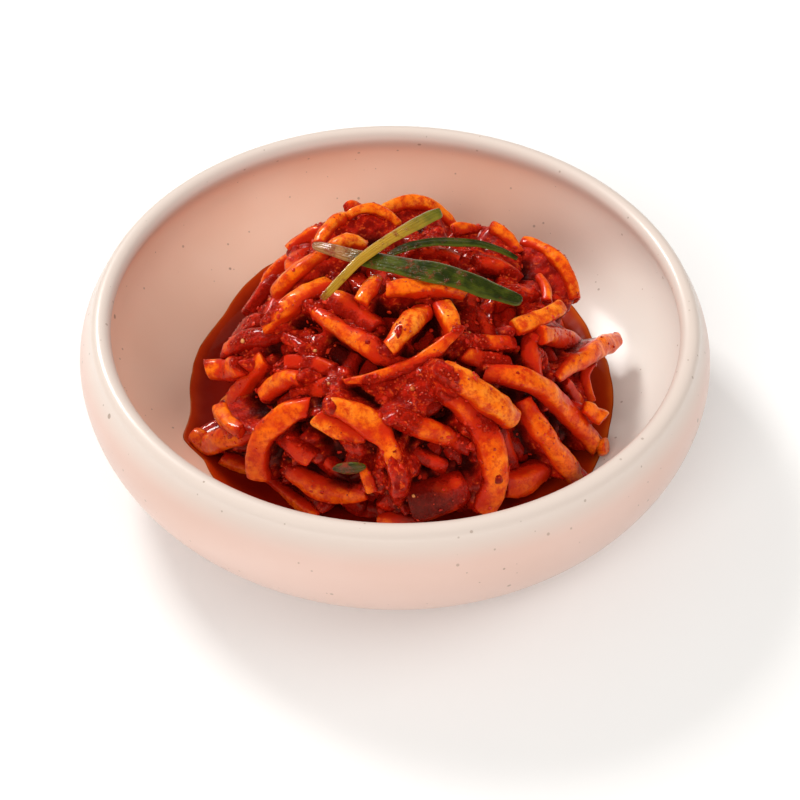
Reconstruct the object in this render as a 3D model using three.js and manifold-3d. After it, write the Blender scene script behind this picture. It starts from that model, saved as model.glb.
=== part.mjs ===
// Spicy radish kimchi in a low stoneware bowl, garnished with scallion. Millimetres, +Z up.
// The origin is the middle of the bowl's foot, on the table.
import * as THREE from "three";
import { mergeVertices } from "three/addons/utils/BufferGeometryUtils.js";
import Module from "manifold-3d";

const wasm = await Module();
wasm.setup();

const DEGREE = Math.PI / 180;
const AROUND = 50; // facets round the bowl and the juice
const GAP = 0.35; // clearance between pieces that touch

// The bowl: a round belly that turns in to a thick rolled lip, on a broad foot ring.
const BELLY = { radius: 54, height: 33, across: 36, below: 33, above: 24.6, turn: 25 };
const LIP = { radius: 83, height: 44.1, roll: 2.9, start: 15 };
const FOOT = { inner: 44, bevel: 1.2, recess: 1.4 };
const FLOOR = [[28, 6], [62, 7.5], [83.6, 19], [83.6, 34]]; // control points of the inner curve
const THROAT = [[83.6, 34], [83.6, 39], [80.1, 42], [80.1, 44.1]]; // from that curve to the lip

const JUICE_LEVEL = 12;
const WELL_RADIUS = 50.5; // the juice stands outside this radius and the heap inside it

// The heap: a packed core, and strips that lie on it and on each other.
const CORE = { centre: new THREE.Vector3(3, -1, 10), reach: 51, height: 41, power: 2.3 };
const PACKING = { span: 6, drop: 1.1, rings: 8, facets: 30 }; // evened over a span, and let down
const FEELERS = { count: 9000, span: 1.12 }; // rays from the core's centre that feel the surface
const STATIONS = 17; // points along a strip while it is laid
const SAG = 0.05; // the sharpest bend of a limp strip, per mm
const SINK = 0.25; // how far a strip presses into what carries it, in its thickness
const ROUND = 0.46; // radius of the round body that feels its way, in strip widths
const WALL_LIMIT = 76; // no strip lies further out than this

const BALL_SPACING = 1.5; // mm between the balls that raise the surface along a strip
const THICKNESS = 0.86; // of a strip, in widths
const FACET_LENGTH = 7; // mm of strip to a facet
const END_SIZE = 0.78; // of a strip's ends, next to its middle
const STRIP_SECTION = [[1, 0], [0.55, 1], [-0.55, 1], [-1, 0], [-0.55, -1], [0.55, -1]];

// Strips round the back, in rows from the foot up. Each row slants its own way.
const BACK = {
  seed: 11,
  rows: [
    { polar: 87, slant: 55, spacing: 9, from: 25, to: 140 },
    { polar: 70, slant: -45, spacing: 11, from: 25, to: 140 },
    { polar: 50, slant: 20, spacing: 13, from: 115, to: 160 },
  ],
};

// Strips over the front and top, lowest first: azimuth, polar angle, heading, length, bend and
// width, then the lift of the two ends where they stand off the heap.
const STRIPS = [
  [30, 60, -165, 22, 35, 5.5],
  [335, 50, -140, 14, 30, 6],
  [344, 74, -70, 16, 5, 4, 1, 1],
  [353, 77, -145, 11, 5, 4, 5, 1],
  [311, 82, -5, 19, 50, 8],
  [267, 80, -45, 9, -5, 6.5],
  [269, 82, 0, 11, -10, 5],
  [280, 75, 5, 15, 10, 11],
  [226, 93, 30, 37, -35, 5.5, 13, 5],
  [245, 79, 5, 25, 55, 6.5],
  [233, 69, -15, 12, 25, 8],
  [209, 81, 50, 26, -10, 6.5, 5, 1],
  [200, 69, -100, 24, -20, 6, 0, 4],
  [212, 72, 15, 12, 15, 5],
  [194, 67, 50, 14, 0, 6.5, 8, 0],
  [158, 64, 140, 13, 10, 6.5],
  [179, 62, 75, 17, 0, 6.5],
  [192, 56, 70, 21, 15, 6],
  [131, 53, 135, 15, -45, 5.5],
  [127, 41, -160, 17, 15, 5],
  [166, 38, 125, 20, 85, 5.5],
  [191, 37, 115, 21, 35, 6.5],
  [104, 70, -125, 10, 40, 5.5],
  [87, 60, 205, 25, 5, 5.5, -2, -2],
  [107, 40, 175, 14, -30, 4, -2, -2],
  [140, 27, 160, 11, -5, 5, -2, -2],
  [66, 25, -165, 18, -55, 6],
  [62, 51, -135, 12, 0, 5],
  [47, 53, -170, 10, 0, 7],
  [30, 39, -115, 16, -60, 6.5],
  [8, 42, -65, 24, -45, 6.5],
  [12, 49, -185, 11, -5, 5],
  [349, 45, -35, 18, 15, 5.5],
  [355, 58, -50, 28, -5, 6],
  [322, 37, -40, 16, 0, 6],
  [313, 41, -40, 15, 30, 5],
  [222, 45, 25, 17, -30, 5.5],
  [208, 44, 20, 8, 0, 5],
  [220, 24, 5, 18, -5, 9],
  [216, 15, -55, 11, -20, 6.5],
  [237, 31, -5, 36, 20, 6.5],
  [271, 23, 55, 18, 0, 7],
  [307, 23, -110, 12, 0, 6.5],
  [311, 10, -30, 24, -10, 5.5],
  [233, 50, 40, 16, -15, 7],
  [217, 55, 50, 17, -45, 6.5],
  [225, 67, -105, 27, 70, 7.5, 0, 2],
  [248, 57, -10, 12, 15, 6],
  [278, 65, -30, 10, 0, 5],
  [272, 43, 35, 10, 35, 6],
  [275, 49, 25, 14, 5, 8],
  [280, 56, -30, 22, -10, 6.5],
  [318, 72, -80, 27, 25, 6.5, 0, 7],
  [329, 63, -65, 46, -45, 7, 0, 11],
  [337, 74, -70, 5, -30, 5.5, -1, 3],
  [354, 67, -30, 32, -20, 6, 0, 9],
  [297, 61, -85, 37, -85, 8],
  [297, 48, -50, 23, 0, 8],
  [262, 56, -45, 28, -85, 8],
  [259, 69, -60, 7, -15, 4],
  [272, 36, 25, 35, 45, 4],
].map(([azimuth, polar, heading, length, bend, width, liftStart = 0, liftEnd = 0]) => ({
  azimuth,
  polar,
  heading,
  length,
  bend,
  width,
  liftStart,
  liftEnd,
}));

// Scallion on top, lowest first. The widths are at the start, middle and end.
const LEAF_ACROSS = [-1, -0.5, 0, 0.5, 1];
const LEAF_BALL = 1.2; // radius of the balls that raise the surface over a leaf
const LEAF_STEPS = 11; // facets along a leaf
const SCALLION = {
  scallion_scrap: {
    azimuth: 254, polar: 66, heading: 20, length: 8, bend: 0, liftStart: 0, liftEnd: 0,
    widths: [2, 4, 2], thickness: 0.8, arch: 0.3, colour: 0x35591f,
  },
  scallion_long_leaf: {
    azimuth: 304, polar: 4, heading: -50, length: 61, bend: 35, liftStart: 0.8, liftEnd: 3.7,
    widths: [3.5, 6.5, 4.5], thickness: 1.1, arch: 0.8, colour: 0x3c6a26,
  },
  scallion_curved_leaf: {
    azimuth: 54, polar: 26, heading: -135, length: 40, bend: -25, liftStart: 0, liftEnd: 0,
    widths: [3, 4.2, 1.2], thickness: 1.1, arch: 0.6, colour: 0x3c6a26,
  },
  scallion_stalk: {
    azimuth: 158, polar: 10, heading: 155, length: 42, bend: -15, liftStart: 0.6, liftEnd: 8.5,
    widths: [2, 5, 6], thickness: 1.4, arch: 1.4, colour: 0xb9b43a,
  },
};

// A seeded row of even draws.
class Draw {
  constructor(seed) {
    this.state = seed;
  }
  between(low, high) {
    this.state = (Math.imul(this.state, 1664525) + 1013904223) >>> 0;
    return low + ((high - low) * this.state) / 2 ** 32;
  }
}

// ---- Solids ----

// A closed solid from a geometry whose points coincide where its faces meet.
function solidFrom(geometry) {
  const bare = geometry.clone();
  bare.deleteAttribute("normal");
  bare.deleteAttribute("uv");
  const merged = mergeVertices(bare, 1e-3);
  const corners = merged.index.array;
  const kept = [];
  for (let i = 0; i < corners.length; i += 3) {
    const [a, b, c] = corners.slice(i, i + 3);
    if (a !== b && b !== c && c !== a) kept.push(a, b, c);
  }
  return new wasm.Manifold(
    new wasm.Mesh({
      numProp: 3,
      vertProperties: merged.attributes.position.array,
      triVerts: new Uint32Array(kept),
    }),
  );
}

function geometryFrom(solid) {
  const { vertProperties, triVerts } = solid.getMesh();
  return new THREE.BufferGeometry()
    .setAttribute("position", new THREE.BufferAttribute(vertProperties, 3))
    .setIndex(new THREE.BufferAttribute(triVerts, 1));
}

// A profile of [radius, height] points turned about the vertical axis.
function turned(profile, facets = AROUND) {
  const points = profile.map(([r, z]) => new THREE.Vector2(r, z));
  return new THREE.LatheGeometry(points, facets).rotateX(Math.PI / 2);
}

// A closed skin over rings of points, each with the same even number of points. A ring turns
// anticlockwise as seen from the rings after it, and the end caps are zipped across.
function skinned(rings) {
  const size = rings[0].length;
  const index = [];
  for (let i = 0; i + 1 < rings.length; i++) {
    for (let j = 0; j < size; j++) {
      const a = i * size + j;
      const b = i * size + ((j + 1) % size);
      index.push(a, b, b + size, a, b + size, a + size);
    }
  }
  const last = (rings.length - 1) * size;
  for (let j = 0; j + 1 < size / 2; j++) {
    const [a, b, c, d] = [j, j + 1, size - 2 - j, size - 1 - j];
    index.push(a, c, b, a, d, c);
    index.push(last + a, last + b, last + c, last + a, last + c, last + d);
  }
  return new THREE.BufferGeometry().setFromPoints(rings.flat()).setIndex(index);
}

// ---- Bowl and juice ----

function ellipse(centre, across, upright, from, to, steps) {
  return Array.from({ length: steps + 1 }, (_, i) => {
    const angle = (from + ((to - from) * i) / steps) * DEGREE;
    return [centre[0] + across * Math.cos(angle), centre[1] + upright * Math.sin(angle)];
  });
}

function bezier(controls, steps) {
  const curve = new THREE.CubicBezierCurve(...controls.map(([r, z]) => new THREE.Vector2(r, z)));
  return curve.getPoints(steps).map((point) => [point.x, point.y]);
}

const floorCurve = bezier(FLOOR, 10);

// Height of the bowl's inner surface at a distance from its axis.
function floorHeight(radius) {
  const i = floorCurve.findIndex(([r]) => r >= radius);
  if (i === 0) return FLOOR[0][1];
  if (i < 0) return FLOOR[3][1];
  const [[r0, z0], [r1, z1]] = [floorCurve[i - 1], floorCurve[i]];
  return z0 + ((z1 - z0) * (radius - r0)) / (r1 - r0);
}

function bowl() {
  const centre = [BELLY.radius, BELLY.height];
  return turned([
    [0, FOOT.recess],
    [FOOT.inner - FOOT.bevel, FOOT.recess],
    [FOOT.inner, 0],
    ...ellipse(centre, BELLY.across, BELLY.below, -90, 0, 8),
    ...ellipse(centre, BELLY.across, BELLY.above, 0, BELLY.turn, 3).slice(1),
    ...ellipse([LIP.radius, LIP.height], LIP.roll, LIP.roll, LIP.start, 180, 6),
    ...bezier(THROAT, 3).reverse().slice(1),
    ...[...floorCurve].reverse().slice(1),
    [0, FLOOR[0][1]],
  ]);
}

// The part of the inner curve between two distances from the axis, lifted by the gap.
function floorBetween(inner, outer) {
  const between = floorCurve.filter(([r]) => r > inner && r < outer);
  const ends = [inner, outer].map((r) => [r, floorHeight(r)]);
  return [ends[0], ...between, ends[1]].map(([r, z]) => [r, z + GAP]);
}

// Where the lifted inner curve reaches a height.
function shoreRadius(level) {
  let radius = WELL_RADIUS;
  while (floorHeight(radius) + GAP < level) radius += 0.05;
  return radius;
}

function juice() {
  const shore = shoreRadius(JUICE_LEVEL);
  const wetted = floorBetween(WELL_RADIUS, shore);
  return turned([...wetted, [WELL_RADIUS, JUICE_LEVEL], wetted[0]]);
}

// The room that the heap may fill: the bowl's inside, less the juice.
function heapRoom() {
  const inner = WELL_RADIUS - GAP;
  const above = JUICE_LEVEL + GAP;
  const rim = FLOOR[3][0] - 2;
  const wall = floorCurve.filter(([r, z]) => z > above + GAP && r < rim);
  return turned([
    [0, FLOOR[0][1] + GAP],
    ...floorBetween(FLOOR[0][0], inner),
    [inner, above],
    [shoreRadius(above), above],
    ...wall.map(([r, z]) => [r - GAP, z + GAP]),
    [rim, 80],
    [0, 80],
  ]);
}

// ---- The surface that the strips lie on ----

// Distance from the core's centre to its surface along a unit ray.
function coreReach(ray) {
  const flat = Math.hypot(ray.x, ray.y) / CORE.reach;
  const tall = Math.max(ray.z, 0) / CORE.height;
  return (flat ** CORE.power + tall ** CORE.power) ** (-1 / CORE.power);
}

// Rays spread evenly over a little more than a half sphere, each with the distance at which it
// leaves what has been laid so far.
class Surface {
  constructor() {
    const golden = Math.PI * (3 - Math.sqrt(5));
    this.rays = Array.from({ length: FEELERS.count }, (_, i) => {
      const z = 1 - (FEELERS.span * (i + 0.5)) / FEELERS.count;
      const flat = Math.sqrt(1 - z * z);
      return new THREE.Vector3(flat * Math.cos(i * golden), flat * Math.sin(i * golden), z);
    });
    this.reach = this.rays.map(coreReach);
  }

  // How far out along a ray something comes to rest that is round, or flat, and this wide.
  rest(ray, radius, round) {
    let furthest = 0;
    for (let i = 0; i < this.rays.length; i++) {
      const along = this.reach[i] * this.rays[i].dot(ray);
      const aside = this.reach[i] ** 2 - along ** 2;
      if (along <= 0 || aside >= radius ** 2) continue;
      const lift = round ? Math.sqrt(radius ** 2 - aside) : 0;
      furthest = Math.max(furthest, along + lift);
    }
    return furthest;
  }

  // A ball laid at a point, taken from the core's centre, lifts the surface round it.
  add(ball, radius) {
    for (let i = 0; i < this.rays.length; i++) {
      const along = this.rays[i].dot(ball);
      const chord = along ** 2 - ball.lengthSq() + radius ** 2;
      if (along <= 0 || chord <= 0) continue;
      this.reach[i] = Math.max(this.reach[i], along + Math.sqrt(chord));
    }
  }
}

// Unit rays along an arc on the heap. Azimuth and polar angle place its middle, heading is 0
// along the contour and 90 straight uphill, and bend is how far the arc turns in all.
function walk({ azimuth, polar, heading, length, bend }) {
  const a = azimuth * DEGREE;
  const p = polar * DEGREE;
  const middle = new THREE.Vector3(
    Math.sin(p) * Math.cos(a),
    Math.sin(p) * Math.sin(a),
    Math.cos(p),
  );
  const contour = new THREE.Vector3(-Math.sin(a), Math.cos(a), 0);
  const start = contour.applyAxisAngle(middle, heading * DEGREE);
  const stride = length / (STATIONS - 1) / CORE.reach;
  const turn = (bend * DEGREE) / (STATIONS - 1);
  const half = (way) => {
    const ray = middle.clone();
    const course = start.clone();
    return Array.from({ length: (STATIONS - 1) / 2 }, () => {
      course.applyAxisAngle(ray, (way * turn) / 2);
      ray.addScaledVector(course, way * stride).normalize();
      course.addScaledVector(ray, -course.dot(ray)).normalize();
      course.applyAxisAngle(ray, (way * turn) / 2);
      return ray.clone();
    });
  };
  return [...half(-1).reverse(), middle, ...half(1)];
}

// A strip's middle line once it has come to rest: held up by what is below, no sharper bent
// than SAG, lifted at its free ends, and inside the bowl.
function drape(surface, strip, radius, round) {
  const rays = walk(strip);
  const at = (i) => (i / (STATIONS - 1) - 0.5) * strip.length;
  const held = rays.map((ray) => surface.rest(ray, radius, round) - (round ? 2 * SINK * radius : 0));
  let line = held.map((_, i) =>
    Math.max(...held.map((height, j) => height - 0.5 * SAG * (at(i) - at(j)) ** 2)),
  );
  for (let pass = 0; pass < 3; pass++) {
    line = line.map((height, i) => {
      if (i === 0 || i === STATIONS - 1) return height;
      const eased = (line[i - 1] + 2 * height + line[i + 1]) / 4;
      return Math.max(eased, held[i] - 0.1 * radius);
    });
  }
  return rays.map((ray, i) => {
    const from = (2 * i) / (STATIONS - 1) - 1;
    const lift = (from < 0 ? strip.liftStart : strip.liftEnd) * from ** 2;
    const point = ray.clone().multiplyScalar(line[i] + lift).add(CORE.centre);
    return insideBowl(point, radius);
  });
}

function insideBowl(point, radius) {
  const out = Math.hypot(point.x, point.y);
  const limit = WALL_LIMIT - radius;
  if (out > limit) {
    point.x *= limit / out;
    point.y *= limit / out;
  }
  const lowest = floorHeight(Math.min(out, limit) + 0.3 * radius) + 0.8 * radius;
  point.z = Math.max(point.z, lowest);
  return point;
}

// ---- Radish strips ----

// What lies under the strips that show: the felt surface, evened out and let down.
function packing(surface) {
  const { span, drop, rings, facets } = PACKING;
  const near = Math.cos(span / CORE.reach);
  const evened = (ray) => {
    const felt = surface.reach.filter((_, i) => surface.rays[i].dot(ray) > near);
    return felt.reduce((sum, reach) => sum + reach, 0) / felt.length - drop;
  };
  const point = (polar, azimuth) => {
    const ray = new THREE.Vector3().setFromSphericalCoords(1, polar, azimuth);
    ray.set(ray.z, ray.x, ray.y);
    return ray.multiplyScalar(evened(ray)).add(CORE.centre);
  };
  const layers = Array.from({ length: rings }, (_, i) =>
    Array.from({ length: facets }, (_, j) =>
      point(((1 - i / rings) * Math.PI) / 2, (2 * Math.PI * j) / facets),
    ),
  );
  const foot = layers[0].map(({ x, y }) => new THREE.Vector3(x, y, 0));
  return skinned([foot, ...layers]);
}

function backStrips(draw) {
  const strips = [];
  for (const { polar, slant, spacing, from, to } of BACK.rows) {
    const sweep = to - from;
    const round = sweep * DEGREE * CORE.reach * Math.sin(polar * DEGREE);
    const count = Math.round(round / spacing);
    for (let i = 0; i < count; i++) {
      strips.push({
        azimuth: from + (sweep * (i + draw.between(0.3, 0.7))) / count,
        polar: polar + draw.between(-4, 4),
        heading: slant + draw.between(-18, 18),
        length: draw.between(20, 30),
        bend: draw.between(-50, 50),
        width: draw.between(5.5, 8),
        liftStart: 0,
        liftEnd: 0,
      });
    }
  }
  return strips;
}

// The directions across and out of the heap at each point of a line on it.
function frames(line) {
  return line.map((point, i) => {
    const before = line[Math.max(i - 1, 0)];
    const after = line[Math.min(i + 1, line.length - 1)];
    const along = after.clone().sub(before).normalize();
    const out = point.clone().sub(CORE.centre);
    out.addScaledVector(along, -out.dot(along)).normalize();
    return { point, out, across: out.clone().cross(along) };
  });
}

// A strip cut square at both ends, a little thinner there, rolled and twisted about its length.
function stripSolid(line, { length, width }, roll, twist) {
  const steps = Math.max(3, Math.round(length / FACET_LENGTH));
  const spaced = new THREE.CatmullRomCurve3(line).getSpacedPoints(steps);
  const rings = frames(spaced).map(({ point, out, across }, i) => {
    const size = i === 0 || i === steps ? END_SIZE : 1;
    const angle = roll + twist * (i / steps - 0.5);
    return STRIP_SECTION.map(([x, y]) => {
      const flat = (x * width * size) / 2;
      const tall = (y * width * THICKNESS * size) / 2;
      return point
        .clone()
        .addScaledVector(across, flat * Math.cos(angle) - tall * Math.sin(angle))
        .addScaledVector(out, flat * Math.sin(angle) + tall * Math.cos(angle));
    });
  });
  return solidFrom(skinned(rings));
}

// Lays a strip on the surface, raises the surface by it, and gives its solid.
function layStrip(surface, strip, draw) {
  const radius = ROUND * strip.width;
  const line = drape(surface, strip, radius, true);
  const balls = Math.round(strip.length / BALL_SPACING);
  for (const point of new THREE.CatmullRomCurve3(line).getPoints(balls)) {
    surface.add(point.sub(CORE.centre), radius);
  }
  return stripSolid(line, strip, draw.between(-25, 25) * DEGREE, draw.between(-40, 40) * DEGREE);
}

// ---- Scallion ----

// Width at a fraction of the length, through the widths at the start, middle and end.
function leafWidth([start, middle, end], at) {
  return start * (1 - at) * (1 - 2 * at) + 4 * middle * at * (1 - at) + end * at * (2 * at - 1);
}

// A thin leaf that arches across its width, on a line that lies on the surface.
function leafSolid(line, leaf, margin = 0) {
  const spaced = new THREE.CatmullRomCurve3(line).getSpacedPoints(LEAF_STEPS);
  const rings = frames(spaced).map(({ point, out, across }, i) => {
    const wide = leafWidth(leaf.widths, i / LEAF_STEPS) / 2 + margin;
    const face = (lift) =>
      LEAF_ACROSS.map((x) =>
        point
          .clone()
          .addScaledVector(across, x * wide)
          .addScaledVector(out, leaf.arch * (1 - x * x) + lift),
      );
    return [...face(GAP - margin), ...face(GAP + leaf.thickness + margin).reverse()];
  });
  return solidFrom(skinned(rings));
}

function layLeaf(surface, leaf) {
  const line = drape(surface, leaf, Math.max(...leaf.widths) / 2, false);
  const balls = Math.round(leaf.length / BALL_SPACING);
  const spaced = new THREE.CatmullRomCurve3(line).getSpacedPoints(balls);
  const base = GAP + leaf.thickness - LEAF_BALL;
  for (const [i, { point, out, across }] of frames(spaced).entries()) {
    const wide = leafWidth(leaf.widths, i / balls) / 2;
    for (const x of LEAF_ACROSS) {
      const ball = point.clone().sub(CORE.centre).addScaledVector(across, x * wide);
      surface.add(ball.addScaledVector(out, base + leaf.arch * (1 - x * x)), LEAF_BALL);
    }
  }
  return line;
}

// ---- The part ----

const surface = new Surface();
const draw = new Draw(BACK.seed);
const strips = [...backStrips(draw), ...STRIPS].map((strip) => layStrip(surface, strip, draw));
const leaves = Object.entries(SCALLION).map(([name, leaf]) => [name, leaf, layLeaf(surface, leaf)]);

// The core and strips in one piece, clear of the bowl, the juice and the scallion.
function heap() {
  const packed = wasm.Manifold.union([solidFrom(packing(surface)), ...strips]);
  const room = packed.intersect(solidFrom(heapRoom()));
  const clear = leaves.reduce(
    (solid, [, leaf, line]) => solid.subtract(leafSolid(line, leaf, GAP)),
    room,
  );
  const pieces = clear.decompose().sort((a, b) => b.volume() - a.volume());
  return pieces[0];
}

function piece(name, geometry, colour, roughness) {
  const material = new THREE.MeshStandardMaterial({ color: colour, roughness, metalness: 0 });
  const mesh = new THREE.Mesh(geometry, material);
  mesh.name = name;
  return mesh;
}

const group = new THREE.Group();
group.add(piece("bowl", bowl(), 0xf2ddd0, 0.35));
group.add(piece("juice", juice(), 0x6e1405, 0.15));
group.add(piece("radish_heap", geometryFrom(heap()), 0xd4571a, 0.3));
for (const [name, leaf, line] of leaves) {
  group.add(piece(name, geometryFrom(leafSolid(line, leaf)), leaf.colour, 0.4));
}

export default group;
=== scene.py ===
"""Spicy radish kimchi in a low stoneware bowl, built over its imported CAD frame.

Lengths in the code are millimetres, and the user's sizes are Blender's own. Each piece is made by
an operator of its own, from the sizes and colours in its property group.
"""

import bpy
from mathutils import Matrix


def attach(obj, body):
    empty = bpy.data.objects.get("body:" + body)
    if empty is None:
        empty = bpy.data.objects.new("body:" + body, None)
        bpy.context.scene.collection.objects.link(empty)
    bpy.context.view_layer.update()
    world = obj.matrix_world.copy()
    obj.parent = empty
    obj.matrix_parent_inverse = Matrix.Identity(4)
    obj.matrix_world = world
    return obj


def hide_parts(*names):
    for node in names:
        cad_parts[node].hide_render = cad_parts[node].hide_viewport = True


bl_info = {
    "name": "Radish Kimchi Bowl",
    "version": (1, 0, 0),
    "blender": (4, 5, 0),
    "location": "View3D > Sidebar > Kimchi",
    "description": "Makes a bowl of spicy radish kimchi over its CAD frame",
    "category": "Add Mesh",
}

import functools
import math
from collections import namedtuple

import bpy
import numpy as np
from mathutils import Matrix, Vector
from mathutils.bvhtree import BVHTree

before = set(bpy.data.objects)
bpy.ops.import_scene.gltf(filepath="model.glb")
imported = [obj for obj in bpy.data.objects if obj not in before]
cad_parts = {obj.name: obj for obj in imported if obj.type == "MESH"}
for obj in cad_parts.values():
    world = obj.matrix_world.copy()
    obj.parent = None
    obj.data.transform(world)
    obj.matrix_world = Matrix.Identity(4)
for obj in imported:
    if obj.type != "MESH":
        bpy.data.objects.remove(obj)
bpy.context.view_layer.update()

MM = 0.001
METRE = 1000.0
TURN = 2 * math.pi
GOLDEN = math.pi * (3 - math.sqrt(5))  # turning by this spreads points evenly over a ball

# The bowl, as in the frame: a belly that turns in to a rolled lip, on a broad foot ring.
BELLY_RADIUS, BELLY_HEIGHT, BELLY_ACROSS = 54.0, 33.0, 36.0
BELLY_BELOW, BELLY_ABOVE, BELLY_TURN = 33.0, 24.6, 25.0
LIP_RADIUS, LIP_HEIGHT, LIP_ROLL, LIP_START = 83.0, 44.1, 2.9, 15.0
FOOT_INNER, FOOT_BEVEL, FOOT_RECESS = 44.0, 1.2, 1.4
FLOOR_CURVE = ((28, 6), (62, 7.5), (83.6, 19), (83.6, 34))
THROAT_CURVE = ((83.6, 34), (83.6, 39), (80.1, 42), (80.1, 44.1))

# The heap, as in the frame: a rounded core that the strips are laid on one by one.
CENTRE = np.array([3.0, -1.0, 10.0])
CORE_REACH, CORE_HEIGHT, CORE_POWER = 51.0, 41.0, 2.3
FEELERS = 9000  # rays from the core's centre that feel the surface
FEELER_SPAN = 1.12  # how far down they reach: 0 is the top of the core and 1 its equator
STATIONS = 17  # points along a strip while it is laid
SAG = 0.05  # the sharpest bend of a limp strip, per mm
SINK = 0.25  # how far a strip presses into what carries it, in its thickness
ROUND = 0.46  # radius of the round body that feels its way, in strip widths
WALL_LIMIT = 76.0  # no strip lies further out than this
BALL_SPACING = 1.5  # between the balls that raise the surface along a strip

Strip = namedtuple(
    "Strip", "azimuth polar heading length bend width lift_start lift_end tone paste"
)

BACK_SEED = 11
BACK_ROWS = (  # polar angle, slant, spacing, from and to azimuth
    (87, 55, 9, 25, 140),
    (70, -45, 11, 25, 140),
    (50, 20, 13, 115, 160),
)

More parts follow.
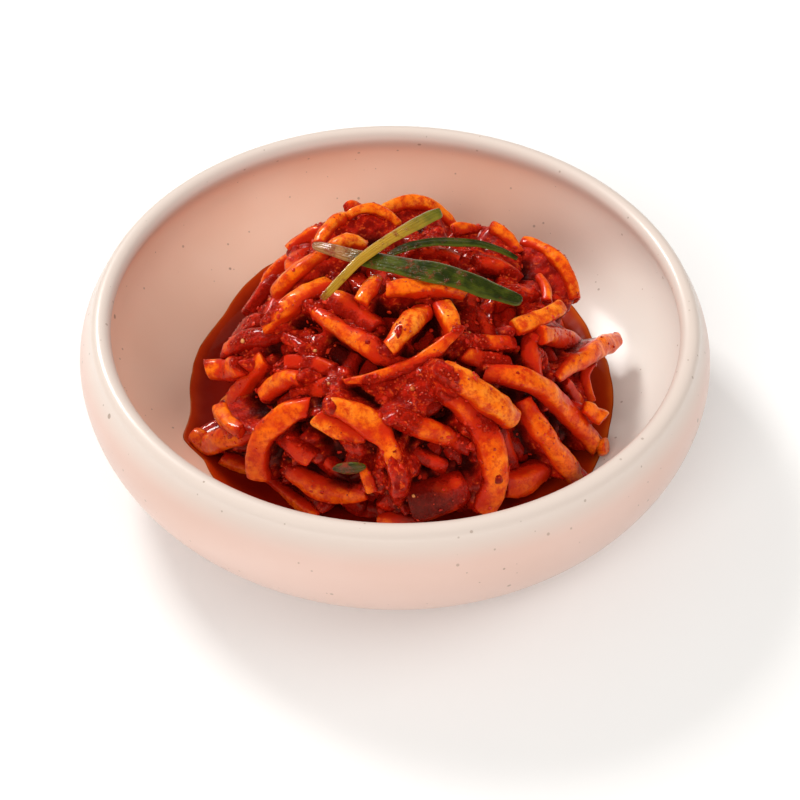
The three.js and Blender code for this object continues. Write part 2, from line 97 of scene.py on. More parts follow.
# Strips over the front and top, lowest first: azimuth, polar angle, heading, length, bend, width,
# lift of the two ends, tone (0 dull and glassy, 1 bright) and how much paste clings to it.
STRIPS = {
    "right_back_arch": Strip(30, 60, -165, 22, 35, 5.5, 0, 0, 0.75, 0.3),
    "right_upright": Strip(335, 50, -140, 14, 30, 6, 0, 0, 0.35, 0.3),
    "right_thin": Strip(344, 74, -70, 16, 5, 4, 1, 1, 0.5, 0.1),
    # Its low tone is painted shade.
    "right_shaded": Strip(353, 77, -145, 11, 5, 4, 5, 1, 0.1, 0.4),
    "foot_ring": Strip(311, 82, -5, 19, 50, 8, 0, 0, 0.2, 0.5),
    "foot_middle": Strip(267, 80, -45, 9, -5, 6.5, 0, 0, 0.3, 0.4),
    "foot_front": Strip(269, 82, 0, 11, -10, 5, 0, 0, 0.4, 0.3),
    # Its low tone is painted shade.
    "foot_lump": Strip(280, 75, 5, 15, 10, 11, 0, 0, 0.15, 0.9),
    "left_front_long": Strip(226, 93, 30, 37, -35, 5.5, 13, 5, 0.55, 0.35),
    "left_front_second": Strip(245, 79, 5, 25, 55, 6.5, 0, 0, 0.6, 0.35),
    "left_thick": Strip(233, 69, -15, 12, 25, 8, 0, 0, 0.5, 0.6),
    "left_wall": Strip(209, 81, 50, 26, -10, 6.5, 5, 1, 0.5, 0.3),
    "left_thumb": Strip(200, 69, -100, 24, -20, 6, 0, 4, 0.9, 0.15),
    "left_thumb_under": Strip(212, 72, 15, 12, 15, 5, 0, 0, 0.7, 0.5),
    "left_chunk": Strip(194, 67, 50, 14, 0, 6.5, 8, 0, 0.6, 0.7),
    "left_paste_low": Strip(158, 64, 140, 13, 10, 6.5, 0, 0, 0.4, 0.95),
    "left_paste_mid": Strip(179, 62, 75, 17, 0, 6.5, 0, 0, 0.4, 0.95),
    "left_paste_high": Strip(192, 56, 70, 21, 15, 6, 0, 0, 0.4, 0.95),
    "top_left_edge": Strip(131, 53, 135, 15, -45, 5.5, 0, 0, 0.7, 0.4),
    "top_left_second": Strip(127, 41, -160, 17, 15, 5, 0, 0, 0.7, 0.4),
    "top_left_third": Strip(166, 38, 125, 20, 85, 5.5, 0, 0, 0.7, 0.3),
    "top_left_fourth": Strip(191, 37, 115, 21, 35, 6.5, 0, 0, 0.7, 0.4),
    "top_lump": Strip(104, 70, -125, 10, 40, 5.5, 0, 0, 0.4, 0.9),
    "top_arch": Strip(87, 60, 205, 25, 5, 5.5, -2, -2, 0.9, 0.3),
    "top_small_arch": Strip(107, 40, 175, 14, -30, 4, -2, -2, 0.8, 0.4),
    "top_pale": Strip(140, 27, 160, 11, -5, 5, -2, -2, 0.8, 0.3),
    "top_middle": Strip(66, 25, -165, 18, -55, 6, 0, 0, 0.5, 0.6),
    "top_right": Strip(62, 51, -135, 12, 0, 5, 0, 0, 0.6, 0.7),
    "top_block": Strip(47, 53, -170, 10, 0, 7, 0, 0, 0.6, 0.5),
    "right_paste_back": Strip(30, 39, -115, 16, -60, 6.5, 0, 0, 0.4, 0.9),
    "right_paste_front": Strip(8, 42, -65, 24, -45, 6.5, 0, 0, 0.4, 0.9),
    "right_small": Strip(12, 49, -185, 11, -5, 5, 0, 0, 0.6, 0.6),
    "right_yellow_end": Strip(349, 45, -35, 18, 15, 5.5, 0, 0, 0.95, 0.15),
    "right_nub": Strip(355, 58, -50, 28, -5, 6, 0, 0, 0.6, 0.3),
    "middle_slab": Strip(322, 37, -40, 16, 0, 6, 0, 0, 0.5, 0.5),
    "middle_slab_low": Strip(313, 41, -40, 15, 30, 5, 0, 0, 0.4, 0.5),
    "left_pale_flat": Strip(222, 45, 25, 17, -30, 5.5, 0, 0, 0.35, 0.4),
    "left_white_end": Strip(208, 44, 20, 8, 0, 5, 0, 0, 0.7, 0.5),
    "middle_chunk": Strip(220, 24, 5, 18, -5, 9, 0, 0, 0.8, 0.5),
    "middle_stub": Strip(216, 15, -55, 11, -20, 6.5, 0, 0, 0.7, 0.5),
    "middle_red_long": Strip(237, 31, -5, 36, 20, 6.5, 0, 0, 0.75, 0.4),
    "middle_bright": Strip(271, 23, 55, 18, 0, 7, 0, 0, 1.0, 0.1),
    "middle_upright": Strip(307, 23, -110, 12, 0, 6.5, 0, 0, 1.0, 0.05),
    "under_leaf": Strip(311, 10, -30, 24, -10, 5.5, 0, 0, 0.7, 0.35),
    "left_orange": Strip(233, 50, 40, 16, -15, 7, 0, 0, 1.0, 0.2),
    "left_orange_chunk": Strip(217, 55, 50, 17, -45, 6.5, 0, 0, 0.8, 0.5),
    "left_arch": Strip(225, 67, -105, 27, 70, 7.5, 0, 2, 0.5, 0.6),
    "under_leaf_pale": Strip(248, 57, -10, 12, 15, 6, 0, 0, 0.9, 0.15),
    "front_dull": Strip(278, 65, -30, 10, 0, 5, 0, 0, 0.2, 0.5),
    "middle_dark": Strip(272, 43, 35, 10, 35, 6, 0, 0, 0.3, 0.8),
    "middle_paste": Strip(275, 49, 25, 14, 5, 8, 0, 0, 0.4, 0.9),
    "middle_flat": Strip(280, 56, -30, 22, -10, 6.5, 0, 0, 0.5, 0.7),
    "right_diagonal_low": Strip(318, 72, -80, 27, 25, 6.5, 0, 7, 0.55, 0.3),
    "right_long": Strip(329, 63, -65, 46, -45, 7, 0, 11, 0.6, 0.3),
    "right_floor_nub": Strip(337, 74, -70, 5, -30, 5.5, -1, 3, 0.6, 0.4),
    "right_torn": Strip(354, 67, -30, 32, -20, 6, 0, 9, 0.6, 0.4),
    "front_arch": Strip(297, 61, -85, 37, -85, 8, 0, 0, 0.55, 0.5),
    "front_bright": Strip(297, 48, -50, 23, 0, 8, 0, 0, 0.9, 0.15),
    "front_carrot": Strip(262, 56, -45, 28, -85, 8, 0, 0, 0.9, 0.2),
    "front_stub": Strip(259, 69, -60, 7, -15, 4, 0, 0, 0.5, 0.5),
    "front_thread": Strip(272, 36, 25, 35, 45, 4, 0, 0, 0.5, 0.6),
}

# Strips that run out to a point or a blunt end: their width at start and end, of the middle.
POINTED = {
    "front_carrot": (0.55, 0.2),
    "left_thumb": (0.9, 0.8),
    "left_front_long": (0.95, 0.6),
    "right_torn": (0.6, 0.95),
    "middle_red_long": (0.4, 0.6),
    "front_thread": (0.5, 0.5),
}

Leaf = namedtuple(
    "Leaf", "azimuth polar heading length bend lift_start lift_end widths thickness arch"
)
SCALLION = {
    "scallion_scrap": Leaf(254, 66, 20, 8, 0, 0, 0, (2, 4, 2), 0.8, 0.3),
    "scallion_long_leaf": Leaf(304, 4, -50, 61, 35, 0.8, 3.7, (3.5, 6.5, 4.5), 1.1, 0.8),
    "scallion_curved_leaf": Leaf(54, 26, -135, 40, -25, 0, 0, (3, 4.2, 1.2), 1.1, 0.6),
    "scallion_stalk": Leaf(158, 10, 155, 42, -15, 0.6, 8.5, (1.9, 3.9, 5.6), 1.4, 1.1),
}
LEAF_GAP = 0.35  # between a leaf and what it lies on
LEAF_BALL = 1.2  # radius of the balls that raise the surface over a leaf
LEAF_ACROSS = (-1, -0.5, 0, 0.5, 1)  # where those balls are, in half widths

# How deep each leaf is folded along its middle, and its roll, its fade to a paler colour and the
# paste on it, each given at even steps along it.
LeafLook = namedtuple("LeafLook", "fold roll fade paste")
LEAF_LOOKS = {
    "scallion_scrap": LeafLook(0.5, (0.3, 0.1), (0, 0), (0.25, 0.12)),
    "scallion_long_leaf": LeafLook(
        0.7,
        (0, 0.1, 0.25, 0.2),
        (1.1, 0.8, 0.15, 0, 0, 0, 0, 0),
        (0.14, 0.14, 0.06, 0.14, 0.1, 0.02, 0.02),
    ),
    "scallion_curved_leaf": LeafLook(0.5, (0, 0.2, 0.2), (0.3, 0, 0, 0.1), (0.14, 0.04, 0.03, 0)),
    "scallion_stalk": LeafLook(
        -0.1, (0, 0), (1.3, 1.2, 1.1, 0.8, 0.5, 0.1), (0.2, 0.08, 0.0, 0.16, 0.0, 0.02)
    ),
}


# ---- Numbers ----


class Draw:
    """A seeded row of even draws."""

    FACTOR, STEP, RANGE = 1664525, 1013904223, 2**32

    def __init__(self, seed):
        self.state = seed

    def between(self, low, high):
        self.state = (self.state * self.FACTOR + self.STEP) % self.RANGE
        return low + (high - low) * self.state / self.RANGE


def unit(vectors):
    return vectors / np.linalg.norm(vectors, axis=-1, keepdims=True)


def ramp(values, low, high):
    """0 below low, 1 above high, smooth between."""
    part = np.clip((values - low) / (high - low), 0, 1)
    return part * part * (3 - 2 * part)


NOISE_KEYS = np.array([73856093, 19349663, 83492791])
NOISE_STIR = 1274126177
SEED_SHIFT = 57.3


def noise(points, size, seed=0):
    """Smooth noise from -1 to 1 whose bumps are about this size."""
    places = points / size + SEED_SHIFT * seed
    cell = np.floor(places).astype(np.int64)
    part = places - cell
    ease = part * part * (3 - 2 * part)
    total = np.zeros(points.shape[:-1])
    for corner in np.ndindex(2, 2, 2):
        key = (cell + corner) @ NOISE_KEYS
        key = ((key ^ (key >> 13)) * NOISE_STIR) & 0x7FFFFFFF
        value = ((key ^ (key >> 15)) & 0xFFFF) / 32767.5 - 1
        total += value * np.prod(np.where(corner, ease, 1 - ease), axis=-1)
    return total


def on_a_line(places):
    """Points along a straight line, for noise that changes along a strip or leaf alone."""
    return np.stack([places, 0 * places, 0 * places], axis=1)


def bezier(controls, steps):
    at = np.linspace(0, 1, steps + 1)[:, None]
    a, b, c, d = np.array(controls, float)
    return (1 - at) ** 3 * a + 3 * (1 - at) ** 2 * at * b + 3 * (1 - at) * at**2 * c + at**3 * d


def curve(line, count):
    """A line's points evened out along a smooth curve through them."""
    ends = 2 * line[[0, -1]] - line[[1, -2]]
    held = np.concatenate([ends[:1], line, ends[1:]])
    at = np.linspace(0, len(line) - 1 - 1e-9, 16 * len(line))
    i = at.astype(int)
    t = (at - i)[:, None]
    p, q, r, s = held[i], held[i + 1], held[i + 2], held[i + 3]
    fine = 0.5 * (
        2 * q + (r - p) * t + (2 * p - 5 * q + 4 * r - s) * t**2 + (3 * q - p - 3 * r + s) * t**3
    )
    along = np.concatenate([[0], np.cumsum(np.linalg.norm(np.diff(fine, axis=0), axis=1))])
    return spaced(fine, along, np.linspace(0, along[-1], count)), along[-1]


def spaced(points, along, places):
    return np.stack([np.interp(places, along, points[:, k]) for k in range(3)], axis=1)


# ---- The surface that the strips lie on ----

FLOOR = bezier(FLOOR_CURVE, 80)


def floor_height(radius):
    """Height of the bowl's inner surface at a distance from its axis."""
    return np.interp(radius, FLOOR[:, 0], FLOOR[:, 1])


def core_reach(rays):
    """Distance from the core's centre to its surface along unit rays."""
    flat = np.hypot(rays[..., 0], rays[..., 1]) / CORE_REACH
    tall = np.maximum(rays[..., 2], 0) / CORE_HEIGHT
    return (flat**CORE_POWER + tall**CORE_POWER) ** (-1 / CORE_POWER)


def placed_ray(azimuth, polar):
    """A unit ray at angles given in degrees."""
    a, p = math.radians(azimuth), math.radians(polar)
    return np.array([math.sin(p) * math.cos(a), math.sin(p) * math.sin(a), math.cos(p)])


class Surface:
    """Rays from the core's centre, each with how far out it leaves what has been laid so far."""

    def __init__(self, rays):
        self.rays = rays
        self.reach = core_reach(rays)

    @classmethod
    def even(cls):
        k = np.arange(FEELERS)
        z = 1 - FEELER_SPAN * (k + 0.5) / FEELERS
        flat = np.sqrt(1 - z * z)
        return cls(np.stack([flat * np.cos(k * GOLDEN), flat * np.sin(k * GOLDEN), z], axis=1))

    def rest(self, rays, radius, is_round):
        """How far out along each ray a round or a flat thing of this radius comes to rest."""
        along = (self.rays @ rays.T) * self.reach[:, None]
        aside = self.reach[:, None] ** 2 - along**2
        lift = np.sqrt(np.maximum(radius**2 - aside, 0)) if is_round else 0
        return np.where((along > 0) & (aside < radius**2), along + lift, 0).max(axis=0)

    def add(self, balls, radius):
        """Balls laid at points, taken from the core's centre, lift the surface round them."""
        for ball in balls:
            near = np.flatnonzero(self.rays @ ball > np.linalg.norm(ball) - radius)
            along = self.rays[near] @ ball
            chord = along**2 - ball @ ball + radius**2
            out = along + np.sqrt(np.maximum(chord, 0))
            held = self.reach[near]
            self.reach[near] = np.where(chord > 0, np.maximum(held, out), held)


def turned(vector, axis, angle):
    """A vector square to the axis, turned about it."""
    return vector * math.cos(angle) + np.cross(axis, vector) * math.sin(angle)


def walk(strip):
    """Unit rays along an arc on the heap."""
    middle = placed_ray(strip.azimuth, strip.polar)
    a = math.radians(strip.azimuth)
    contour = np.array([-math.sin(a), math.cos(a), 0])
    start = turned(contour, middle, math.radians(strip.heading))
    stride = strip.length / (STATIONS - 1) / CORE_REACH
    turn = math.radians(strip.bend) / (STATIONS - 1)

    def half(way):
        ray, course, rays = middle, start, []
        for _ in range((STATIONS - 1) // 2):
            course = turned(course, ray, way * turn / 2)
            ray = unit(ray + course * way * stride)
            course = unit(course - (course @ ray) * ray)
            course = turned(course, ray, way * turn / 2)
            rays.append(ray)
        return rays

    return np.array([*half(-1)[::-1], middle, *half(1)])


def drape(surface, strip, radius, is_round):
    """A strip's middle line once it has come to rest."""
    rays = walk(strip)
    at = np.linspace(-0.5, 0.5, STATIONS) * strip.length
    held = surface.rest(rays, radius, is_round) - (2 * SINK * radius if is_round else 0)
    line = (held[None] - 0.5 * SAG * (at[:, None] - at[None]) ** 2).max(axis=1)
    for _ in range(3):
        eased = line.copy()
        eased[1:-1] = (line[:-2] + 2 * line[1:-1] + line[2:]) / 4
        eased[1:-1] = np.maximum(eased[1:-1], (held - 0.1 * radius)[1:-1])
        line = eased
    from_middle = np.linspace(-1, 1, STATIONS)
    lift = np.where(from_middle < 0, strip.lift_start, strip.lift_end) * from_middle**2
    return inside_bowl(rays * (line + lift)[:, None] + CENTRE, radius)


def inside_bowl(points, radius):
    """Points held clear of the bowl's wall and floor, for something of this radius."""
    out = np.hypot(points[:, 0], points[:, 1])
    limit = WALL_LIMIT - radius
    held = points.copy()
    held[:, :2] *= np.minimum(1, limit / out)[:, None]
    lowest = floor_height(np.minimum(out, limit) + 0.3 * radius) + 0.8 * radius
    held[:, 2] = np.maximum(held[:, 2], lowest)
    return held


def back_strips(draw):
    """Strips over the back, in rows from the foot up."""
    strips = {}
    for polar, slant, spacing, start, end in BACK_ROWS:
        sweep = end - start
        around = math.radians(sweep) * CORE_REACH * math.sin(math.radians(polar))
        count = round(around / spacing)
        for i in range(count):
            azimuth = start + sweep * (i + draw.between(0.3, 0.7)) / count
            polar_here = polar + draw.between(-4, 4)
            heading = slant + draw.between(-18, 18)
            length, bend, width = draw.between(20, 30), draw.between(-50, 50), draw.between(5.5, 8)
            strips[f"back_{len(strips)}"] = Strip(
                azimuth, polar_here, heading, length, bend, width, 0, 0, 0.6, 0.4
            )
    return strips


Laid = namedtuple("Laid", "strips lines leaves balls")


@functools.cache
def laid():
    """The strips, middle lines of strips and leaves at rest, and the balls along the strips."""
    surface = Surface.even()
    draw = Draw(BACK_SEED)
    strips = {**back_strips(draw), **STRIPS}
    lines, balls = {}, []
    for name, strip in strips.items():
        radius = ROUND * strip.width
        lines[name] = drape(surface, strip, radius, True)
        points, _ = curve(lines[name], max(2, round(strip.length / BALL_SPACING) + 1))
        surface.add(points - CENTRE, radius)
        balls.append((points - CENTRE, radius))
    leaves = {}
    for name, leaf in SCALLION.items():
        line = drape(surface, leaf, max(leaf.widths) / 2, False)
        leaves[name] = line
        points, _ = curve(line, round(leaf.length / BALL_SPACING) + 1)
        _, out, across = frames(points)
        wide = leaf_width(leaf, np.linspace(0, 1, len(points))) / 2
        for x in LEAF_ACROSS:
            base = LEAF_GAP + leaf.thickness - LEAF_BALL + leaf.arch * (1 - x * x)
            surface.add(points - CENTRE + across * (x * wide)[:, None] + out * base, LEAF_BALL)
    return Laid(strips, lines, leaves, balls)


def frames(points):
    """Directions along a line, out of the heap, and across, at each of its points."""
    along = unit(np.gradient(points, axis=0))
    out = points - CENTRE
    out = unit(out - (out * along).sum(axis=1, keepdims=True) * along)
    return along, out, np.cross(out, along)


def leaf_width(leaf, at):
    """A leaf's width at fractions of the way along it."""
    start, middle, end = leaf.widths
    return start * (1 - at) * (1 - 2 * at) + 4 * middle * at * (1 - at) + end * at * (2 * at - 1)


# ---- Meshes ----


class Gathered:
    """Points, faces and per-point values of many small solids, joined as one mesh."""

    def __init__(self):
        self.points, self.faces, self.values, self.count = [], [], {}, 0

    def add(self, points, faces, **values):
        self.points.append(points)
        self.faces += [np.asarray(group) + self.count for group in faces]
        for name, value in values.items():
            self.values.setdefault(name, []).append(np.broadcast_to(value, len(points)))
        self.count += len(points)

    def object(self, name, material):
        values = {key: np.concatenate(value) for key, value in self.values.items()}
        return new_object(name, np.concatenate(self.points), self.faces, material, values)


def new_object(name, points, faces, material, values=None):
    mesh = bpy.data.meshes.new(name)
    listed = [face for group in faces for face in np.asarray(group).tolist()]
    mesh.from_pydata((points * MM).tolist(), [], listed)
    mesh.shade_smooth()
    for key, value in (values or {}).items():
        attribute = mesh.attributes.new(key, "FLOAT", "POINT")
        attribute.data.foreach_set("value", value.astype(np.float32))
    mesh.materials.append(material)
    made = bpy.data.objects.new(name, mesh)
    bpy.context.scene.collection.objects.link(made)
    return made


def grid_faces(rows, columns, closed=True):
    """Quads between rows of points, each row a closed ring or an open line."""
    across = np.arange(columns if closed else columns - 1)
    base = np.arange(rows - 1)[:, None] * columns
    a = base + across
    b = base + (across + 1) % columns
    return np.stack([a, b, b + columns, a + columns], axis=-1).reshape(-1, 4)


def capped(rings):
    """A closed skin over rings, whose first and last rings are closed by one face each."""
    rows, columns = rings.shape[:2]
    ends = np.arange(columns)
    faces = [grid_faces(rows, columns), ends[None, ::-1], ends[None] + (rows - 1) * columns]
    return rings.reshape(-1, 3), faces


def lathe(profile, around):
    """Rings of a profile of (radius, height) turned about the vertical axis."""
    angle = np.arange(around) * TURN / around
    x = np.outer(profile[:, 0], np.cos(angle))
    y = np.outer(profile[:, 0], np.sin(angle))
    return np.stack([x, y, np.repeat(profile[:, 1:], around, axis=1)], axis=-1)


def finish_piece(piece, slot, *nodes):
    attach(piece, "root")
    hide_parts(*nodes)


# ---- Shading ----


class Value:
    """A shader socket on which Python's arithmetic makes maths nodes."""

    def __init__(self, graph, socket):
        self.graph, self.socket = graph, socket

    def math(self, operation, *values):
        return self.graph.node("ShaderNodeMath", {"operation": operation}, *values)

    def __add__(self, other):
        return self.math("ADD", self, other)

    def __radd__(self, other):
        return self.math("ADD", other, self)

    def __sub__(self, other):
        return self.math("SUBTRACT", self, other)

    def __rsub__(self, other):
        return self.math("SUBTRACT", other, self)

    def __mul__(self, other):
        return self.math("MULTIPLY", self, other)

    def __rmul__(self, other):
        return self.math("MULTIPLY", other, self)

    def __truediv__(self, other):
        return self.math("DIVIDE", self, other)

    def __rtruediv__(self, other):
        return self.math("DIVIDE", other, self)

    def __pow__(self, other):
        return self.math("POWER", self, other)

    def __rpow__(self, other):
        return self.math("POWER", other, self)

    def ramp(self, low, high):
        """0 at low and below, 1 at high and above, smooth between."""
        settings = {"interpolation_type": "SMOOTHSTEP"}
        return self.graph.node("ShaderNodeMapRange", settings, self, low, high, 0.0, 1.0)

    def mix(self, start, end):
        """The colour from start to end as this goes from 0 to 1."""
        settings = {"data_type": "RGBA", "clamp_factor": True}
        sockets = {"Factor_Float": self, "A_Color": start, "B_Color": end}
        return self.graph.node("ShaderNodeMix", settings, output="Result_Color", **sockets)


class Graph:
    """A material's nodes, ending in one Principled shader."""

    def __init__(self, name, **constants):
        self.material = bpy.data.materials.new(name)
        self.material.use_nodes = True
        self.tree = self.material.node_tree
        self.shader = self.tree.nodes["Principled BSDF"]
        for socket, value in constants.items():
            self.shader.inputs[socket.replace("_", " ")].default_value = value

    def node(self, kind, settings=None, *inputs, output=0, **named):
        """A node with its settings, and its sockets in order or by identifier; gives an output."""
        made = self.tree.nodes.new(kind)
        for key, value in (settings or {}).items():
            setattr(made, key, value)
        by_name = {socket.identifier: socket for socket in made.inputs}
        pairs = [*zip(made.inputs, inputs), *((by_name[key], named[key]) for key in named)]
        for socket, value in pairs:
            self.plug(socket, value)
        if isinstance(output, str):
            return Value(self, next(s for s in made.outputs if s.identifier == output))
        return Value(self, made.outputs[output])

    def plug(self, socket, value):
        if isinstance(value, Value):
            self.tree.links.new(value.socket, socket)
        elif socket.type == "RGBA" and len(value) == 3:
            socket.default_value = (*value, 1)
        else:
            socket.default_value = value

    def feed(self, **sockets):
        for socket, value in sockets.items():
            self.plug(self.shader.inputs[socket.replace("_", " ")], value)
        return self.material

    def place(self):
        return self.node("ShaderNodeTexCoord", output="Object")

    def parts(self, vector):
        return [self.node("ShaderNodeSeparateXYZ", None, vector, output=i) for i in range(3)]

    def stored(self, name):
        """A number stored on each point of the mesh."""
        return self.node("ShaderNodeAttribute", {"attribute_name": name}, output="Fac")

    def noise(self, vector, size, detail=2.0, rough=0.5):
        """Noise from 0 to 1 whose bumps are about this many millimetres."""
        named = {"Vector": vector, "Scale": METRE / size, "Detail": detail, "Roughness": rough}
        return self.node("ShaderNodeTexNoise", **named)

    def specks(self, vector, cell, size):
        """1 in small round specks, of sizes up to this and one to a cell, and 0 elsewhere."""
        named = {"Vector": vector, "Scale": METRE / cell, "Randomness": 1.0}
        near = self.node("ShaderNodeTexVoronoi", {"feature": "F1"}, output="Distance", **named)
        hue = self.node("ShaderNodeTexVoronoi", {"feature": "F1"}, output="Color", **named)
        reach = self.parts(hue)[0] ** 2 * (size / cell)
        return 1 - (near / (reach + 1e-4)).ramp(0.7, 1.1)

    def bump(self, height, depth):
        """A normal from a height between 0 and 1, this many millimetres deep."""
        named = {"Strength": 1.0, "Distance": depth * MM, "Height": height}
        return self.node("ShaderNodeBump", None, output="Normal", **named)


def glaze_material(user):
    """Clouded glaze with two sizes of specks. Within, it is brighter and redder than outside,
    painted light bounced off the heap, and paler on its right side, a painted pool of window light;
    over the lip it is paler, partly thinner glaze and partly a painted highlight.
    """
    g = Graph("stoneware_glaze", Roughness=0.42, Coat_Weight=0.3, Coat_Roughness=0.16)
    place = g.place()
    inside, lip = g.stored("inside"), g.stored("lip")
    cloud = g.noise(place, 40, 3).ramp(0.3, 0.7)
    # Painted bounced light: the inside colours are brighter and redder than the outside glaze, as
    # if lit by the heap.
    body = (cloud * 0.6).mix(user.glaze, user.glaze_deep)
    within = cloud.mix(user.inside, user.inside_deep)
    # Painted light: the right side within turns paler, where the window lights it.
    within = g.stored("pale").mix(within, user.inside_window_lit)
    body = inside.mix(body, within)
    # Paler over the lip: partly thinner glaze, partly a painted highlight.
    body = lip.mix(body, user.lip)
    fine = g.specks(place, 3.2, 0.5)
    coarse = g.specks(place, 7.5, 0.8)
    colour = (fine * 0.55).mix(body, user.speck)
    colour = (coarse * 0.75).mix(colour, user.speck)
    ripple = g.noise(place, 16, 2)
    return g.feed(Base_Color=colour, Normal=g.bump(ripple, 0.12))


def radish_material(user):
    """Wet radish, pale along its crests (a painted highlight) and deep on its flanks (painted
    shade), darkened in hollows (painted shade), stained and crusted with paste.
    """
    g = Graph(
        "radish_strip",
        Subsurface_Weight=0.5,
        Subsurface_Radius=(1.0, 0.22, 0.04),
        Subsurface_Scale=0.002,
        Coat_Weight=0.42,
        Coat_Roughness=0.07,
        Specular_IOR_Level=0.12,
    )
    place = g.place()
    tone, paste, below = g.stored("tone"), g.stored("paste"), g.stored("below")
    cloud = g.noise(place, 4.5, 3)
    # Painted light and shade: warm rises on the crests and falls on flanks that lie deep or face
    # into the heap; tone and cloud add the strips' own colour.
    warm = tone * 0.55 + (1 - below) * 0.95 + (cloud - 0.5) * 1.0
    body = warm.ramp(0.35, 0.95).mix(user.deep, user.dull)
    body = warm.ramp(0.9, 1.45).mix(body, user.bright)
    # Painted highlight: the crests of the brightest strips turn pale.
    body = warm.ramp(1.3, 1.8).mix(body, user.pale)
    blush = g.noise(place, 2.8, 5, 0.72)
    soaked = (blush + paste * 0.45 + below * 0.25).ramp(0.4, 0.66)
    body = (soaked * 0.9).mix(body, user.blush)
    stain = g.noise(place, 1.6, 5, 0.68)
    red = (paste + (stain - 0.5) * 1.8).ramp(0.25, 0.85)
    thin = g.noise(place, 1.1, 3, 0.6).ramp(0.35, 0.7) * (1 - below * 0.6)
    coat = (thin + (0.7 - paste)).mix(user.paste_dark, user.paste)
    colour = (red * 0.9).mix(body, coat)
    clump = g.noise(place, 4.2, 2).ramp(0.45, 0.65)
    grit = g.noise(place, 1.1, 3, 0.6).ramp(0.5, 0.72)
    colour = (clump * grit * 0.8).mix(colour, user.flake)
    # Painted shade: strips in hollows and in shaded spots turn near black.
    colour = (g.stored("shade") * 0.85).mix(colour, user.hollow_shade)
    grain = g.noise(place, 0.7, 3, 0.6)
    fibre = g.noise(place, 2.2, 2)
    height = grain * (0.25 + red * 0.75) + fibre * 0.6
    rough = 0.42 - red * 0.12 - stain * 0.1
    return g.feed(Base_Color=colour, Roughness=rough, Normal=g.bump(height, 0.42))


def paste_material(user):
    """Grainy pepper paste, wet where it lies high, and painted dark as shade where it lies deep."""
    g = Graph(
        "pepper_paste",
        Subsurface_Weight=0.15,
        Subsurface_Radius=(1.0, 0.2, 0.05),
        Subsurface_Scale=0.001,
        Coat_Roughness=0.08,
        Specular_IOR_Level=0.12,
    )
    place = g.place()
    depth = g.stored("depth")
    cloud = g.noise(place, 2.6, 4, 0.6)
    body = cloud.ramp(0.38, 0.62).mix(user.paste_dark, user.paste)
    body = g.noise(place, 1.3, 3, 0.6).ramp(0.56, 0.68).mix(body, user.paste_bright)
    # Painted shade: paste that lies deep turns near black.
    colour = depth.mix(body, user.hollow_shade)
    grain = g.noise(place, 0.8, 4, 0.65)
    grain = grain * 0.7 + g.noise(place, 2.0, 2) * 0.5
    wet = 0.6 - depth * 0.5
    return g.feed(
        Base_Color=colour, Roughness=0.45 - grain * 0.3, Coat_Weight=wet, Normal=g.bump(grain, 0.5)
    )


def grain_material(name, colour, other, wet=0.6):
    """Wet skin of small bits, each somewhere between two colours."""
    g = Graph(name, Coat_Weight=wet, Coat_Roughness=0.1)
    place = g.place()
    mixed = (g.stored("tone") + (g.noise(place, 0.8) - 0.5)).ramp(0.0, 1.0).mix(colour, other)
    return g.feed(Base_Color=mixed, Roughness=0.25 + g.noise(place, 1.5) * 0.2)


def juice_material(user):
    """Red juice that turns to orange where it thins out, and pale at its very edge."""
    g = Graph("seasoning_juice", Coat_Weight=0.3, Coat_Roughness=0.06, Specular_IOR_Level=0.2)
    place = g.place()
    thin = g.stored("thin")
    cloud = g.noise(place, 8, 3)
    film = thin + (cloud - 0.5) * 0.35
    colour = film.ramp(0.0, 0.6).mix(user.deep, user.shallow)
    colour = film.ramp(0.6, 1.1).mix(colour, user.edge)
    colour = (1 - g.stored("brink").ramp(0.0, 0.12)).mix(colour, user.fringe)
    wave = g.noise(place, 5, 2)
    return g.feed(Base_Color=colour, Roughness=0.12 + cloud * 0.1, Normal=g.bump(wave, 0.15))


VEINS = 26.0  # how fast the ribs follow each other across a leaf


def leaf_material(name, leaf, dark, pale, smear):
    """Wet ribbed scallion, brighter along its sides, faded along it and smeared with paste."""
    g = Graph(
        name,
        Coat_Weight=0.8,
        Coat_Roughness=0.07,
        Subsurface_Weight=0.1,
        Subsurface_Scale=0.001,
    )
    place = g.place()
    side = g.stored("side")
    cloud = g.noise(place, 4, 3)
    edge = (side * side).ramp(0.45, 1.0)
    green = (cloud + edge * 0.35).ramp(0.35, 0.8).mix(dark, leaf)
    fade = g.stored("fade") + (cloud - 0.5) * 0.5
    colour = fade.ramp(0.15, 0.85).mix(green, pale)
    vein = (side * VEINS).math("SINE", side * VEINS) * 0.5 + 0.5
    colour = (vein * cloud * 0.3).mix(colour, dark)
    stain = g.noise(place, 2.6, 5, 0.68)
    red = (stain + g.stored("paste")).ramp(0.62, 0.82)
    colour = (red * 0.85).mix(colour, smear)
    height = vein * 0.2 + g.noise(place, 1.3, 3, 0.6) * (0.5 + red)
    return g.feed(Base_Color=colour, Roughness=0.26 + stain * 0.15, Normal=g.bump(height, 0.5))


def floor_material(user):
    """A matt pale floor with a faint cloud."""
    g = Graph("pale_floor")
    cloud = g.noise(g.place(), 120, 2)
    colour = cloud.mix(user.floor, tuple(part * 0.985 for part in user.floor))
    return g.feed(Base_Color=colour, Roughness=0.65 + cloud * 0.1)


# ---- Bowl and juice ----


def ellipse(centre, across, upright, start, end, steps):
    """Points on an ellipse's outline between two angles in degrees."""
    angle = np.radians(np.linspace(start, end, steps + 1))
    x = centre[0] + across * np.cos(angle)
    return np.stack([x, centre[1] + upright * np.sin(angle)], axis=1)


